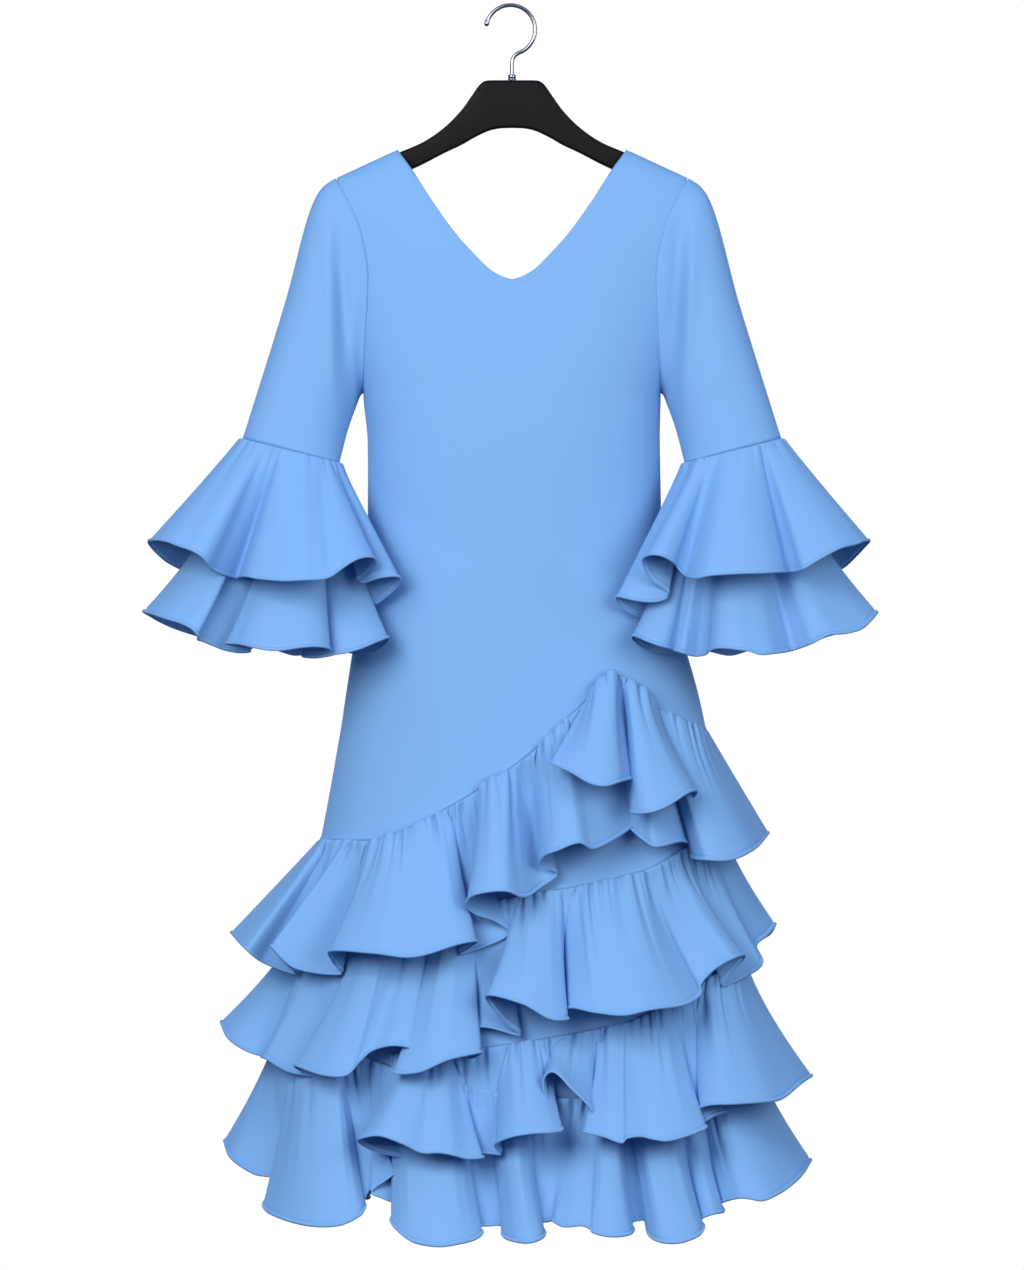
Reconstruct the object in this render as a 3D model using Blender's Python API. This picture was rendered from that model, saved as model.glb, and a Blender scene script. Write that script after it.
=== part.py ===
"""A flamenco dress hanging on a hanger: each cut piece of cloth is a thin wall of its own.

Sizes are in millimetres until add_object turns them to metres. The origin is the inside of the
hook's crown, where a rail holds it. The dress faces -Y, and +X is to the right of who looks at it.
"""

import math

import bmesh
import bpy
import numpy as np
from mathutils import Vector

# Driving dimensions of the cloth.
WALL = 1.5
GAP = 0.3
LAP = 4.0
ROUNDNESS = 2.3
PANEL_COLUMNS = 18
SKIRT_ROWS = 5
FLOUNCE_ROWS = 3
SLEEVE_COLUMNS_ROUND, SLEEVE_ROWS = 18, 5

# How the flounces hang: a valley's stand-off from the body, and how much shallower its hem is than
# the folds beside it; a fold's ends stand off this share of its middle; lower tiers flare out late.
VALLEY = 52
VALLEY_DIP = 4
FOLD_END_STAND = 0.84
TIER_FLARE = 1.35
CROSSOVER_VALLEY = 60

# The folds behind, where each is a little wider or narrower and nearer or further than the last.
PLAIN_UNEVEN = 0.16
PLAIN_OVERLAP = 3
PLAIN_STAND, PLAIN_STAND_UNEVEN = 74, 8

# Heights and half widths of the dress's own corners.
NECK_POINT_X, NECK_POINT_Z = 132, -164
SHOULDER_TIP_X, SHOULDER_TIP_Z = 203, -197
UNDERARM_Z = -443
ARMHOLE_DEPTH = 42
ARMHOLE_MOST = 0.9
BACK_NECK_DROP = 5

# Level sections below the shoulder tip: half width to the panel's edge, half depth, sideways lean.
SECTION_COLUMNS = ("z", "edge", "depth", "lean")
SECTIONS = (
    (-197, 203, 36, 0),
    (-225, 187, 44, 0),
    (-260, 173, 53, 0),
    (-310, 165, 63, 0),
    (-390, 169, 76, 0),
    (-443, 171, 82, 0),
    (-500, 168, 85, 2),
    (-590, 169, 86, 3),
    (-680, 180, 89, 5),
    (-797, 204, 97, 12),
    (-831, 210, 100, 13),
    (-957, 232, 114, 12),
    (-1084, 258, 132, 8),
    (-1199, 276, 149, 4),
    (-1280, 286, 160, 2),
)
SHOULDER_DEPTH = 26

# The front neckline: height and half width of the opening.
NECK_COLUMNS = ("z", "half_width")
NECK = (
    (-314, 0),
    (-311, 13),
    (-291, 38),
    (-262, 64),
    (-223, 93),
    (-187, 115),
    (-164, 132),
)

# Seams across the body, as x and height. The back ones run evenly between the two sides.
HIP_SEAM = (
    (-218, -957),
    (-164, -957),
    (-119, -944),
    (-73, -919),
    (-15, -883),
    (56, -826),
    (112, -766),
    (142, -781),
    (180, -814),
    (224, -831),
)
SEAM_2 = ((-256, -1050), (17, -1018), (146, -992), (235, -938))
SEAM_3 = ((-275, -1195), (-137, -1199), (126, -1165), (268, -1088))
SEAM_4 = ((-272, -1158), (-100, -1225), (64, -1250), (180, -1240), (284, -1206))
SKIRT_BELOW_SEAM_4 = 6
HIP_SAG = 10
SEAM_4_SAG = 45
BACK_TIER_COLUMNS = ("number", "seam_sag", "folds", "hem_dip", "flare")
BACK_TIERS = (
    (1, HIP_SAG, 6, 45, 1.0),
    (2, 10, 7, 50, TIER_FLARE),
    (3, 15, 5, 40, TIER_FLARE),
    (4, SEAM_4_SAG, 7, 85, TIER_FLARE),
)
SHORT_TIER, SHORT_TIER_INSET = 3, 20

# Flounces, a row for each fluted fold: where it leaves the seam, its hem's left and right ends, the
# hem's height there and between, and how far it stands off the body.
FOLD_COLUMNS = ("seam", "left", "right", "z_left", "z_mid", "z_right", "stand")
FLOUNCE_1_LEFT = (
    (-216, -324, -249, -1065, -1092, -1105, 84),
    (-180, -277, -204, -1079, -1104, -1110, 72),
    (-118, -208, -40, -1085, -1090, -1075, 82),
    (-62, -58, -8, -1088, -1085, -1067, 48),
    (-16, -50, 14, -1028, -1016, -1024, 80),
    (14, 20, 44, -1014, -1006, -996, 46),
    (52, 42, 96, -978, -962, -968, 72),
    (92, 100, 114, -956, -952, -946, 44),
)
FLOUNCE_1_RIGHT = (
    (130, 126, 146, -944, -946, -950, 44),
    (146, 151, 204, -958, -966, -962, 66),
    (196, 212, 296, -978, -980, -951, 78),
)
CROSSOVER = (
    (100, 44, 143, -868, -895, -890, 92),
    (140, 140, 212, -925, -924, -902, 98),
)
FLOUNCE_2_FRONT = (
    (-250, -336, -286, -1168, -1194, -1206, 74),
    (-206, -283, -222, -1208, -1222, -1226, 66),
    (-140, -249, -110, -1215, -1218, -1205, 78),
    (-70, -136, -36, -1221, -1212, -1200, 84),
    (-20, -34, 8, -1178, -1180, -1174, 50),
    (32, -28, 64, -1136, -1152, -1160, 82),
    (112, 70, 208, -1148, -1156, -1138, 88),
    (180, 216, 266, -1114, -1096, -1094, 66),
    (226, 270, 303, -1106, -1086, -1056, 62),
)
FLOUNCE_3_FRONT = (
    (-125, -175, -75, -1296, -1302, -1310, 76),
    (-58, -66, -34, -1316, -1318, -1316, 50),
    (-2, -15, 56, -1296, -1292, -1286, 74),
    (66, 60, 80, -1262, -1264, -1270, 50),
    (134, 84, 216, -1288, -1299, -1287, 84),
    (240, 220, 346, -1264, -1262, -1230, 76),
)
FLOUNCE_4_FRONT = (
    (-270, -332, -284, -1305, -1325, -1344, 66),
    (-218, -283, -172, -1376, -1394, -1378, 84),
    (-160, -163, -139, -1362, -1366, -1370, 56),
    (-90, -137, -36, -1388, -1417, -1404, 84),
    (-24, -32, -12, -1394, -1396, -1398, 60),
    (14, -11, 38, -1406, -1414, -1405, 80),
    (72, 48, 138, -1392, -1404, -1400, 76),
    (162, 154, 217, -1406, -1414, -1398, 82),
    (220, 222, 244, -1388, -1384, -1380, 66),
    (262, 256, 346, -1370, -1366, -1324, 68),
)

# Cuffs, in the same columns, from the lowest x to the highest, first in front and then behind.
CUFF_UPPER_LEFT = (
    (-298, -418, -352, -616, -624, -646, 104),
    (-262, -342, -318, -652, -656, -658, 80),
    (-246, -312, -188, -658, -662, -644, 92),
    (-206, -178, -130, -662, -664, -655, 76),
)
CUFF_LOWER_LEFT = (
    (-298, -422, -358, -696, -716, -732, 92),
    (-262, -346, -326, -734, -738, -740, 72),
    (-246, -320, -210, -736, -744, -744, 84),
    (-206, -198, -142, -748, -746, -727, 72),
)
CUFF_UPPER_RIGHT = (
    (203, 119, 172, -678, -683, -676, 78),
    (222, 156, 184, -640, -634, -644, 74),
    (254, 198, 312, -654, -656, -650, 92),
    (288, 332, 411, -648, -636, -615, 100),
)
CUFF_LOWER_RIGHT = (
    (203, 137, 186, -724, -736, -742, 70),
    (222, 182, 208, -742, -744, -746, 66),
    (254, 226, 314, -744, -742, -744, 84),
    (288, 330, 420, -742, -730, -697, 92),
)

# How each cuff ruffle is sewn and hangs: out from (or in under) the seam, valleys, flare, and its
# hem's clearance from the dress. Behind, its folds are narrower, shorter and stand off less.
CUFF_UPPER = {"lap": 2.5, "valley": 56, "flare": 1.0, "clearance": 11}
CUFF_LOWER = {"lap": -3.5, "valley": 44, "flare": 1.6, "clearance": 9}
CUFF_BACK_WIDTH, CUFF_BACK_STAND, CUFF_BACK_RISE = 0.94, 0.725, 6
CUFF_SWING = 22

# The sleeve's two edges as the dress hangs, from the armhole to the cuff seam.
SLEEVE_COLUMNS = ("along", "outer_x", "outer_z", "inner_x", "inner_z", "depth", "forward")
SLEEVE = (
    (0, 203, -197, 171, -443, 42, 0),
    (0.06, 216, -205, 174.5, -447, 43, 1),
    (0.16, 228, -223, 178, -456, 45, 4),
    (0.5, 260, -337, 188, -485, 45, 16),
    (1, 309, -496, 198, -524, 36, 34),
)
ARMHOLE_GAP = 1.5

# The hanger.
HANGER_THICK = 12
HANGER_REACH = 188
HANGER_EDGE = 4
HANGER_COLUMNS = ("x", "top", "bottom")
HANGER = (
    (0, -84, -139),
    (20, -84, -139),
    (30, -84, -143),
    (36, -88, -146),
    (45, -100, -151),
    (57, -117, -158),
    (78, -139, -168),
    (103, -156, -181),
    (132, -168, -194),
    (176, -188, -211),
    (184, -193, -212),
    (HANGER_REACH, -198, -206),
)
HOOK_WIRE = 4.7
HOOK_RADIUS = 28.3
HOOK_CENTRE_X = -1.7
HOOK_TIP_ANGLE = 172
HOOK_DROP = 38.6
HOOK_SWELL = (0.55, 1.08, 1.26, 1.16)
COLLAR_RADIUS = 4.7
COLLAR_HEIGHT = 6.4
COLLAR_SIDES = 24

FRONT, BACK = -1, 1


def table(rows, columns):
    """The rows of a table as one array for each named column."""
    return dict(zip(columns, np.array(rows, float).T))


def curve(at, knots, values):
    """A smooth curve through the knots that never overshoots them."""
    knots, values = np.asarray(knots, float), np.asarray(values, float)
    step = np.diff(knots)
    slope = np.diff(values) / step
    tangent = np.concatenate([slope[:1], slope[:-1], slope[-1:]])[: len(knots)]
    before, after = slope[:-1], slope[1:]
    same = before * after > 0
    total = np.where(same, before + after, 1)
    tangent[1:-1] = np.where(same, 2 * before * after / total, 0)
    tangent[-1] = slope[-1]
    at = np.clip(at, knots[0], knots[-1])
    i = np.clip(np.searchsorted(knots, at, side="right") - 1, 0, len(step) - 1)
    f = (at - knots[i]) / step[i]
    rise = f * f * (3 - 2 * f)
    start = f * (1 - f) ** 2 * step[i] * tangent[i]
    end = -f * f * (1 - f) * step[i] * tangent[i + 1]
    return values[i] * (1 - rise) + values[i + 1] * rise + start + end


BODY = table(SECTIONS, SECTION_COLUMNS)


def section(z):
    """The dress's half width, half depth, lean and armhole half depth at each height."""
    below = -np.minimum(z, SHOULDER_TIP_Z)
    edge = curve(below, -BODY["z"], BODY["edge"])
    depth = curve(below, -BODY["z"], BODY["depth"])
    lean = curve(below, -BODY["z"], BODY["lean"])
    up = np.clip((z - SHOULDER_TIP_Z) / (NECK_POINT_Z - SHOULDER_TIP_Z), 0, 1)
    edge = edge + up * (NECK_POINT_X - SHOULDER_TIP_X)
    depth = depth + up * (SHOULDER_DEPTH - BODY["depth"][0])
    middle = (SHOULDER_TIP_Z + UNDERARM_Z) / 2
    off = (z - middle) / (SHOULDER_TIP_Z - middle)
    armhole = ARMHOLE_DEPTH * np.sqrt(np.clip(1 - off**2, 0, None))
    return edge, depth, lean, np.minimum(armhole, ARMHOLE_MOST * depth)


def body(s, z, side, out=0.0):
    """Points of the dress at share s of its half width and height z, moved out from the cloth."""
    edge, depth, lean, armhole = section(z)
    kept = 1 - (armhole / depth) ** ROUNDNESS
    share = np.clip(1 - np.abs(s) ** ROUNDNESS * kept, 0, 1)
    y = depth * share ** (1 / ROUNDNESS)
    normal_x = np.sign(s) * np.abs(s) ** (ROUNDNESS - 1) / edge
    normal_y = (y / depth) ** (ROUNDNESS - 1) / depth
    length = np.hypot(normal_x, normal_y)
    x = lean + s * edge + out * normal_x / length
    y = y + out * normal_y / length
    return np.stack([x, side * np.maximum(y, GAP / 2), z], -1)


def share_at(turn):
    """Share of the half width at each turn, from -1 to 1, so that points crowd at the round sides."""
    return np.sign(turn) * np.abs(np.sin(turn * math.pi / 2)) ** (2 / ROUNDNESS)


def turn_at(share):
    """The turn that share_at makes this share from."""
    share = np.clip(share, -1, 1)
    return np.sign(share) * np.arcsin(np.abs(share) ** (ROUNDNESS / 2)) * 2 / math.pi


def back_seam(seam, sag):
    """The seam behind: a plain shallow curve between the two sides' heights."""
    (left, left_z), (right, right_z) = seam[0], seam[-1]
    return (seam[0], ((left + right) / 2, (left_z + right_z) / 2 - sag), seam[-1])


def seam_height(seam, x):
    """Height of a seam at x."""
    xs, zs = np.array(seam, float).T
    return curve(x, xs, zs)


def on_seam(seam, s):
    """Height of the seam at each share of the half width."""
    z = np.full_like(s, seam[0][1], dtype=float)
    for _ in range(8):
        edge, _, lean, _ = section(z)
        z = seam_height(seam, lean + s * edge)
    return z


def add_object(name, mesh, material):
    """Turns a mesh in millimetres into a named object in metres."""
    mesh.transform(((0.001, 0, 0, 0), (0, 0.001, 0, 0), (0, 0, 0.001, 0), (0, 0, 0, 1)))
    mesh.materials.append(material)
    mesh.shade_smooth()
    obj = bpy.data.objects.new(name, mesh)
    bpy.context.collection.objects.link(obj)


def limit_corners(shape, points):
    """Pulls back the inner corners that a sharp fold would push far from the outer face."""
    for vertex in shape.verts:
        nearest = points[np.argmin(np.sum((points - np.array(vertex.co)) ** 2, axis=1))]
        off = vertex.co - Vector(nearest)
        if off.length > 2 * WALL:
            vertex.co = Vector(nearest) + off * (2 * WALL / off.length)


def add_cloth(name, columns, rows, place, side, material, ring=False):
    """A wall of cloth: a grid whose points place() puts on the outer face, thickened inwards.

    u runs across the cloth and v down it. side keeps an open panel on its own half, ring closes it.
    """
    shape = bmesh.new()
    bmesh.ops.create_grid(shape, x_segments=columns, y_segments=rows, size=0.5)
    flat = np.array([v.co[:2] for v in shape.verts]) + 0.5
    points = place(flat[:, 0], flat[:, 1])
    for vertex, point in zip(shape.verts, points):
        vertex.co = point
    if ring:
        bmesh.ops.remove_doubles(shape, verts=shape.verts, dist=1e-3)
    if side == FRONT:
        bmesh.ops.reverse_faces(shape, faces=shape.faces)
    shape.normal_update()
    bmesh.ops.solidify(shape, geom=shape.faces[:], thickness=WALL)
    limit_corners(shape, points)
    if not ring:
        for vertex in shape.verts:
            vertex.co.y = side * max(side * vertex.co.y, GAP / 2)
    if shape.calc_volume(signed=True) < 0:
        bmesh.ops.reverse_faces(shape, faces=shape.faces)
    mesh = bpy.data.meshes.new(name)
    shape.to_mesh(mesh)
    shape.free()
    add_object(name, mesh, material)


def add_panel(name, side, neck_drop, hip_seam, cloth):
    """Front or back of the dress, from the shoulders and neck to the hip seam."""
    neck_z, half_width = np.array(NECK, float).T
    neck_z = neck_z - neck_drop * (1 - (neck_z - neck_z[0]) / (neck_z[-1] - neck_z[0]))
    heights = np.linspace(neck_z[0], neck_z[-1], 200)
    shares = curve(heights, neck_z, half_width) / section(heights)[0]
    tip = (NECK_POINT_Z - SHOULDER_TIP_Z) / (NECK_POINT_Z - UNDERARM_Z)
    steps = (0, tip, 0.3, 0.6, 1, 1.33, 1.66, 2)

    def place(u, v):
        s = share_at(2 * u - 1)
        step = np.interp(v * (len(steps) - 1), range(len(steps)), steps)
        top = np.interp(np.abs(s), shares, heights)
        bottom = on_seam(hip_seam, s) + GAP
        upper = top + (UNDERARM_Z - top) * np.minimum(step, 1)
        lower = (bottom - UNDERARM_Z) * np.maximum(step - 1, 0)
        return body(s, upper + lower, side)

    add_cloth(name, PANEL_COLUMNS, len(steps) - 1, place, side, cloth)


def add_skirt(name, side, hip_seam, hem_seam, cloth):
    """The plain base under the flounces."""

    def place(u, v):
        s = share_at(2 * u - 1)
        top = on_seam(hip_seam, s) - GAP / 2
        bottom = on_seam(hem_seam, s) - SKIRT_BELOW_SEAM_4
        return body(s, top + (bottom - top) * v, side)

    add_cloth(name, PANEL_COLUMNS, SKIRT_ROWS, place, side, cloth)


def fold_points(folds, valley):
    """Three points for each fluted fold and one in each valley: seam x, hem x, hem z, stand."""
    fold = table(folds, FOLD_COLUMNS)
    between = (fold["seam"][1:] + fold["seam"][:-1]) / 2
    first = 2 * fold["seam"][0] - between[0]
    last = 2 * fold["seam"][-1] - between[-1]
    edges = np.concatenate([[first], between, [last]])
    points = []
    for i in range(len(folds)):
        seam, left, right = (fold[key][i] for key in ("seam", "left", "right"))
        tip_stand = fold["stand"][i] * FOLD_END_STAND
        points.append(((edges[i] + seam) / 2, left, fold["z_left"][i], tip_stand))
        points.append((seam, (left + right) / 2, fold["z_mid"][i], fold["stand"][i]))
        points.append(((edges[i + 1] + seam) / 2, right, fold["z_right"][i], tip_stand))
        if i + 1 < len(folds):
            low = min(fold["z_right"][i], fold["z_left"][i + 1]) - VALLEY_DIP
            points.append((edges[i + 1], (right + fold["left"][i + 1]) / 2, low, valley))
    return np.array(points, float)


def with_middles(points, intervals):
    """The same points with one more in the middle of each of these intervals."""
    places = [i % (len(points) - 1) + 1 for i in intervals]
    middles = [(points[i - 1] + points[i]) / 2 for i in places]
    return np.insert(points, places, middles, axis=0)


def offset_point(x, stand, edge, depth, lean):
    """y of the point at this x on the outline that stands off a level section."""
    turns = np.linspace(-1, 1, 121)
    s = share_at(turns)
    y = (1 - np.abs(s) ** ROUNDNESS) ** (1 / ROUNDNESS)
    normal_x = np.sign(s) * np.abs(s) ** (ROUNDNESS - 1) / edge
    normal_y = y ** (ROUNDNESS - 1) / depth
    length = np.hypot(normal_x, normal_y)
    xs = lean + edge * s + stand * normal_x / length
    return np.interp(x, xs, depth * y + stand * normal_y / length)


def add_flounce(name, side, folds, seam, cloth, valley=VALLEY, lap=LAP, flare=1.0, at_sides=(True, True)):
    """A gathered flounce: straight flutes from its seam to a hem whose points the folds give."""
    points = fold_points(folds, valley)
    edge, _, lean, _ = section(seam_height(seam, points[:, 0]))
    points[:, 0] = turn_at((points[:, 0] - lean) / edge)
    if at_sides[0]:
        points[0, 0] = -1
        points = with_middles(with_middles(points, (0, 1)), (0, 1))
    if at_sides[1]:
        points[-1, 0] = 1
        points = with_middles(with_middles(points, (-2, -1)), (-2, -1))
    s = share_at(points[:, 0])
    top_z = on_seam(seam, s)
    top = body(s, top_z, side, lap)
    edge, depth, lean, _ = section(top_z)
    hem = np.stack([points[:, 1], np.zeros(len(points)), points[:, 2]], -1)
    for i, (_, x, _, stand) in enumerate(points):
        hem[i, 1] = side * max(offset_point(x, stand, edge[i], depth[i], lean[i]), GAP / 2)
    for end, here in ((0, at_sides[0]), (-1, at_sides[1])):
        if here:
            hem[end, 1] = side * GAP / 2

    def place(u, v):
        i = np.rint(u * (len(points) - 1)).astype(int)
        share = np.stack([v**flare, v**flare, v], -1)
        return clear_of_body(top[i] + (hem[i] - top[i]) * share, lap)

    add_cloth(name, len(points) - 1, FLOUNCE_ROWS, place, side, cloth)


def plain_folds(first, last, count, seam_ends, dip):
    """Folds of a hidden flounce, between two hem ends as (x, z) and two ends of its seam in x."""
    sizes = 1 + PLAIN_UNEVEN * np.sin(np.arange(count) * 2.4)
    ends = np.concatenate([[0], np.cumsum(sizes)]) / sizes.sum()
    seam_x = seam_ends[0] + (seam_ends[1] - seam_ends[0]) * ends
    hem_x = first[0] + (last[0] - first[0]) * ends
    folds = []
    for i in range(count):
        left = hem_x[i] - PLAIN_OVERLAP * (i > 0)
        right = hem_x[i + 1] + PLAIN_OVERLAP * (i + 1 < count)
        at = (np.array([left, (left + right) / 2, right]) - first[0]) / (last[0] - first[0])
        drop = dip * np.sin(math.pi * np.clip(at, 0, 1)) ** 0.7
        z = first[1] + (last[1] - first[1]) * at - drop
        stand = PLAIN_STAND + PLAIN_STAND_UNEVEN * math.sin(i * 1.9)
        folds.append(((seam_x[i] + seam_x[i + 1]) / 2, left, right, *z, stand))
    return folds


def sleeve_edges(v, side):
    """Outer and inner edge, half depth and forward swing of the sleeve at each share along it."""
    sleeve = table(SLEEVE, SLEEVE_COLUMNS)
    got = {key: curve(v, sleeve["along"], sleeve[key]) for key in SLEEVE_COLUMNS[1:]}
    outer = np.stack([side * got["outer_x"], got["outer_z"]], -1)
    inner = np.stack([side * got["inner_x"], got["inner_z"]], -1)
    return outer, inner, got["depth"], got["forward"]


def add_sleeve(name, side, cloth):
    """A set-in sleeve: rings from the armhole's curve to the cuff seam's ellipse."""

    def place(u, v):
        tau = 2 * math.pi * u
        outer, inner, depth, forward = sleeve_edges(v, side)
        middle, half = (outer + inner) / 2, (outer - inner) / 2
        flat = middle + half * np.cos(tau)[:, None]
        first_outer, first_inner, _, _ = sleeve_edges(np.zeros_like(v), side)
        chord = (first_outer + first_inner) / 2 + (first_outer - first_inner) / 2 * np.cos(tau)[:, None]
        seam_x = side * (section(chord[:, 1])[0] + ARMHOLE_GAP)
        x = flat[:, 0] + (seam_x - chord[:, 0]) * (1 - v) ** 3
        y = -np.sin(tau) * depth - forward
        return np.stack([x, y, flat[:, 1]], -1)

    way = FRONT if side > 0 else BACK
    add_cloth(name, SLEEVE_COLUMNS_ROUND, SLEEVE_ROWS, place, way, cloth, ring=True)


def cuff_middle(side):
    """Middle, half width, half depth and slope of the cuff seam."""
    outer, inner, depth, forward = sleeve_edges(np.array([1.0]), side)
    middle = (outer + inner)[0] / 2
    return middle[0], -forward[0], middle[1], (outer - inner)[0, 0] / 2, depth[0], (outer - inner)[0, 1]


def clear_of_body(points, clearance):
    """Moves points that would be inside the dress out to just off its side."""
    edge, depth, lean, _ = section(points[:, 2])
    across = np.abs(points[:, 0] - lean) / (edge + clearance)
    through = np.abs(points[:, 1]) / (depth + clearance)
    level = across**ROUNDNESS + through**ROUNDNESS
    push = np.where(level < 1, np.maximum(level, 1e-6) ** (-1 / ROUNDNESS), 1)
    moved = points.copy()
    moved[:, 0] = lean + (points[:, 0] - lean) * push
    moved[:, 1] = points[:, 1] * push
    return moved


def add_cuff_ruffle(name, side, folds, sewn, cloth):
    """A flounce all round the cuff seam: the shown folds in front, and as many plain ones behind.

    It starts just below the sleeve's end, a lap further out or, below zero, further in.
    """
    lap, flare = sewn["lap"], sewn["flare"]
    middle_x, middle_y, middle_z, half_x, depth, slope = cuff_middle(side)
    half_x = abs(half_x) + lap
    depth = depth + lap
    front = fold_points(folds, sewn["valley"])
    rear = (front[1:] if side < 0 else front[:-1])[::-1].copy()
    rear[:, 1] = middle_x + (rear[:, 1] - middle_x) * CUFF_BACK_WIDTH
    rear[:, 2] += CUFF_BACK_RISE
    rear[:, 3] *= CUFF_BACK_STAND
    near_front, near_rear = ((-2, -1), (0, 1)) if side < 0 else ((0, 1), (-2, -1))
    for _ in range(2):
        front = with_middles(front, near_front)
        rear = with_middles(rear, near_rear)
    halves = ((front, FRONT), (rear, BACK))
    top, hem = [], []
    for points, way in halves:
        for k, (seam_x, hem_x, hem_z, stand) in enumerate(points):
            at_end = way == FRONT and k in (0, len(points) - 1)
            s = math.copysign(1, hem_x - middle_x) if at_end else (seam_x - middle_x) / half_x
            s = max(-1, min(1, s))
            y = depth * (1 - abs(s) ** 2) ** 0.5
            z = middle_z + slope / 2 * s * math.copysign(1, side) - 3 * GAP
            top.append((middle_x + half_x * s, middle_y + way * y, z))
            out = 0 if at_end else offset_point(hem_x, stand, half_x, depth, middle_x)
            hem.append((hem_x, middle_y - CUFF_SWING + way * out, hem_z))
    top, hem = np.array(top), clear_of_body(np.array(hem), sewn["clearance"])
    count = len(top)

    def place(u, v):
        i = np.rint(u * count).astype(int) % count
        share = np.stack([v**flare, v**flare, v], -1)
        return top[i] + (hem[i] - top[i]) * share

    add_cloth(name, count, FLOUNCE_ROWS + 1, place, FRONT, cloth, ring=True)


def add_hanger_body(material):
    """The moulded hanger: its outline from the table, mirrored, extruded and rounded at the edges."""
    half = table(HANGER, HANGER_COLUMNS)
    upper = [(x, z) for x, z in zip(half["x"], half["top"])]
    lower = [(x, z) for x, z in zip(half["x"], half["bottom"])]
    outline = [(-x, z) for x, z in upper[:0:-1]] + upper + lower[::-1] + [(-x, z) for x, z in lower[1:]]
    shape = bmesh.new()
    rim = [shape.verts.new((x, -HANGER_THICK / 2, z)) for x, z in outline]
    face = shape.faces.new(rim)
    made = bmesh.ops.extrude_face_region(shape, geom=[face])
    new = [v for v in made["geom"] if isinstance(v, bmesh.types.BMVert)]
    bmesh.ops.translate(shape, verts=new, vec=(0, HANGER_THICK, 0))
    bmesh.ops.recalc_face_normals(shape, faces=shape.faces)
    flats = [f for f in shape.faces if abs(f.normal.y) > 0.9]
    edges = {e for f in flats for e in f.edges}
    bmesh.ops.bevel(
        shape, geom=list(edges), offset=HANGER_EDGE, affect="EDGES", segments=2, profile=0.5, material=-1
    )
    mesh = bpy.data.meshes.new("hanger_body")
    shape.to_mesh(mesh)
    shape.free()
    add_object("hanger_body", mesh, material)


def add_collar(material):
    """The turned collar where the hook enters the hanger, bored for the hook's wire."""
    bottom = HANGER[0][1] + GAP
    bore = HOOK_WIRE / 2 + GAP
    profile = (
        (bore, bottom),
        (COLLAR_RADIUS, bottom),
        (COLLAR_RADIUS, bottom + COLLAR_HEIGHT - 1),
        (COLLAR_RADIUS - 1, bottom + COLLAR_HEIGHT),
        (bore, bottom + COLLAR_HEIGHT),
    )
    shape = bmesh.new()
    points = [shape.verts.new((x, 0, z)) for x, z in profile]
    edges = [shape.edges.new((a, b)) for a, b in zip(points, points[1:] + points[:1])]
    bmesh.ops.spin(
        shape,
        geom=points + edges,
        axis=(0, 0, 1),
        cent=(0, 0, 0),
        angle=2 * math.pi,
        steps=COLLAR_SIDES,
        use_merge=True,
    )
    bmesh.ops.recalc_face_normals(shape, faces=shape.faces)
    mesh = bpy.data.meshes.new("hanger_collar")
    shape.to_mesh(mesh)
    shape.free()
    add_object("hanger_collar", mesh, material)


def hook_route():
    """The hook's centre line: a round crown, a short reverse bend and the straight shank."""
    crown_z = HOOK_WIRE / 2 - HOOK_RADIUS
    left, drop = -HOOK_CENTRE_X, HOOK_DROP
    bend = (HOOK_RADIUS**2 - left**2 - drop**2) / (2 * (left - HOOK_RADIUS))
    leave = math.asin(drop / (HOOK_RADIUS + bend))
    points = []
    for angle in np.linspace(math.radians(HOOK_TIP_ANGLE), -leave, 32):
        x = HOOK_CENTRE_X + HOOK_RADIUS * math.cos(angle)
        points.append((x, crown_z + HOOK_RADIUS * math.sin(angle)))
    for angle in np.linspace(leave, 0, 8)[1:]:
        points.append((bend * (1 - math.cos(angle)), crown_z - HOOK_DROP + bend * math.sin(angle)))
    points.append((0, HANGER[0][1] + GAP))
    return points


def add_hook(material):
    """The bent wire hook, swelling to a round end."""
    route = hook_route()
    wire = bpy.data.curves.new("hanger_hook", "CURVE")
    wire.dimensions = "3D"
    wire.bevel_depth = HOOK_WIRE / 2 / 1000
    wire.bevel_resolution = 2
    wire.use_fill_caps = True
    spline = wire.splines.new("POLY")
    spline.points.add(len(route) - 1)
    for i, (point, (x, z)) in enumerate(zip(spline.points, route)):
        point.co = (x / 1000, 0, z / 1000, 1)
        point.radius = HOOK_SWELL[i] if i < len(HOOK_SWELL) else 1
    wire.materials.append(material)
    obj = bpy.data.objects.new("hanger_hook", wire)
    bpy.context.collection.objects.link(obj)


def make_material(name, colour, roughness, metallic=0.0):
    material = bpy.data.materials.new(name)
    material.use_nodes = True
    shader = material.node_tree.nodes["Principled BSDF"]
    shader.inputs["Base Color"].default_value = (*colour, 1)
    shader.inputs["Roughness"].default_value = roughness
    shader.inputs["Metallic"].default_value = metallic
    return material


for old in list(bpy.data.objects):
    bpy.data.objects.remove(old)

crepe = make_material("blue crepe", (0.20, 0.44, 0.85), 0.85)
black_plastic = make_material("black moulded plastic", (0.015, 0.014, 0.015), 0.5)
steel = make_material("polished steel", (0.6, 0.6, 0.6), 0.25, 1.0)

add_hanger_body(black_plastic)
add_collar(steel)
add_hook(steel)

add_panel("front", FRONT, 0, HIP_SEAM, crepe)
add_panel("back", BACK, BACK_NECK_DROP, back_seam(HIP_SEAM, HIP_SAG), crepe)
add_skirt("skirt_front", FRONT, HIP_SEAM, SEAM_4, crepe)
add_skirt("skirt_back", BACK, back_seam(HIP_SEAM, HIP_SAG), back_seam(SEAM_4, SEAM_4_SAG), crepe)

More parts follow.
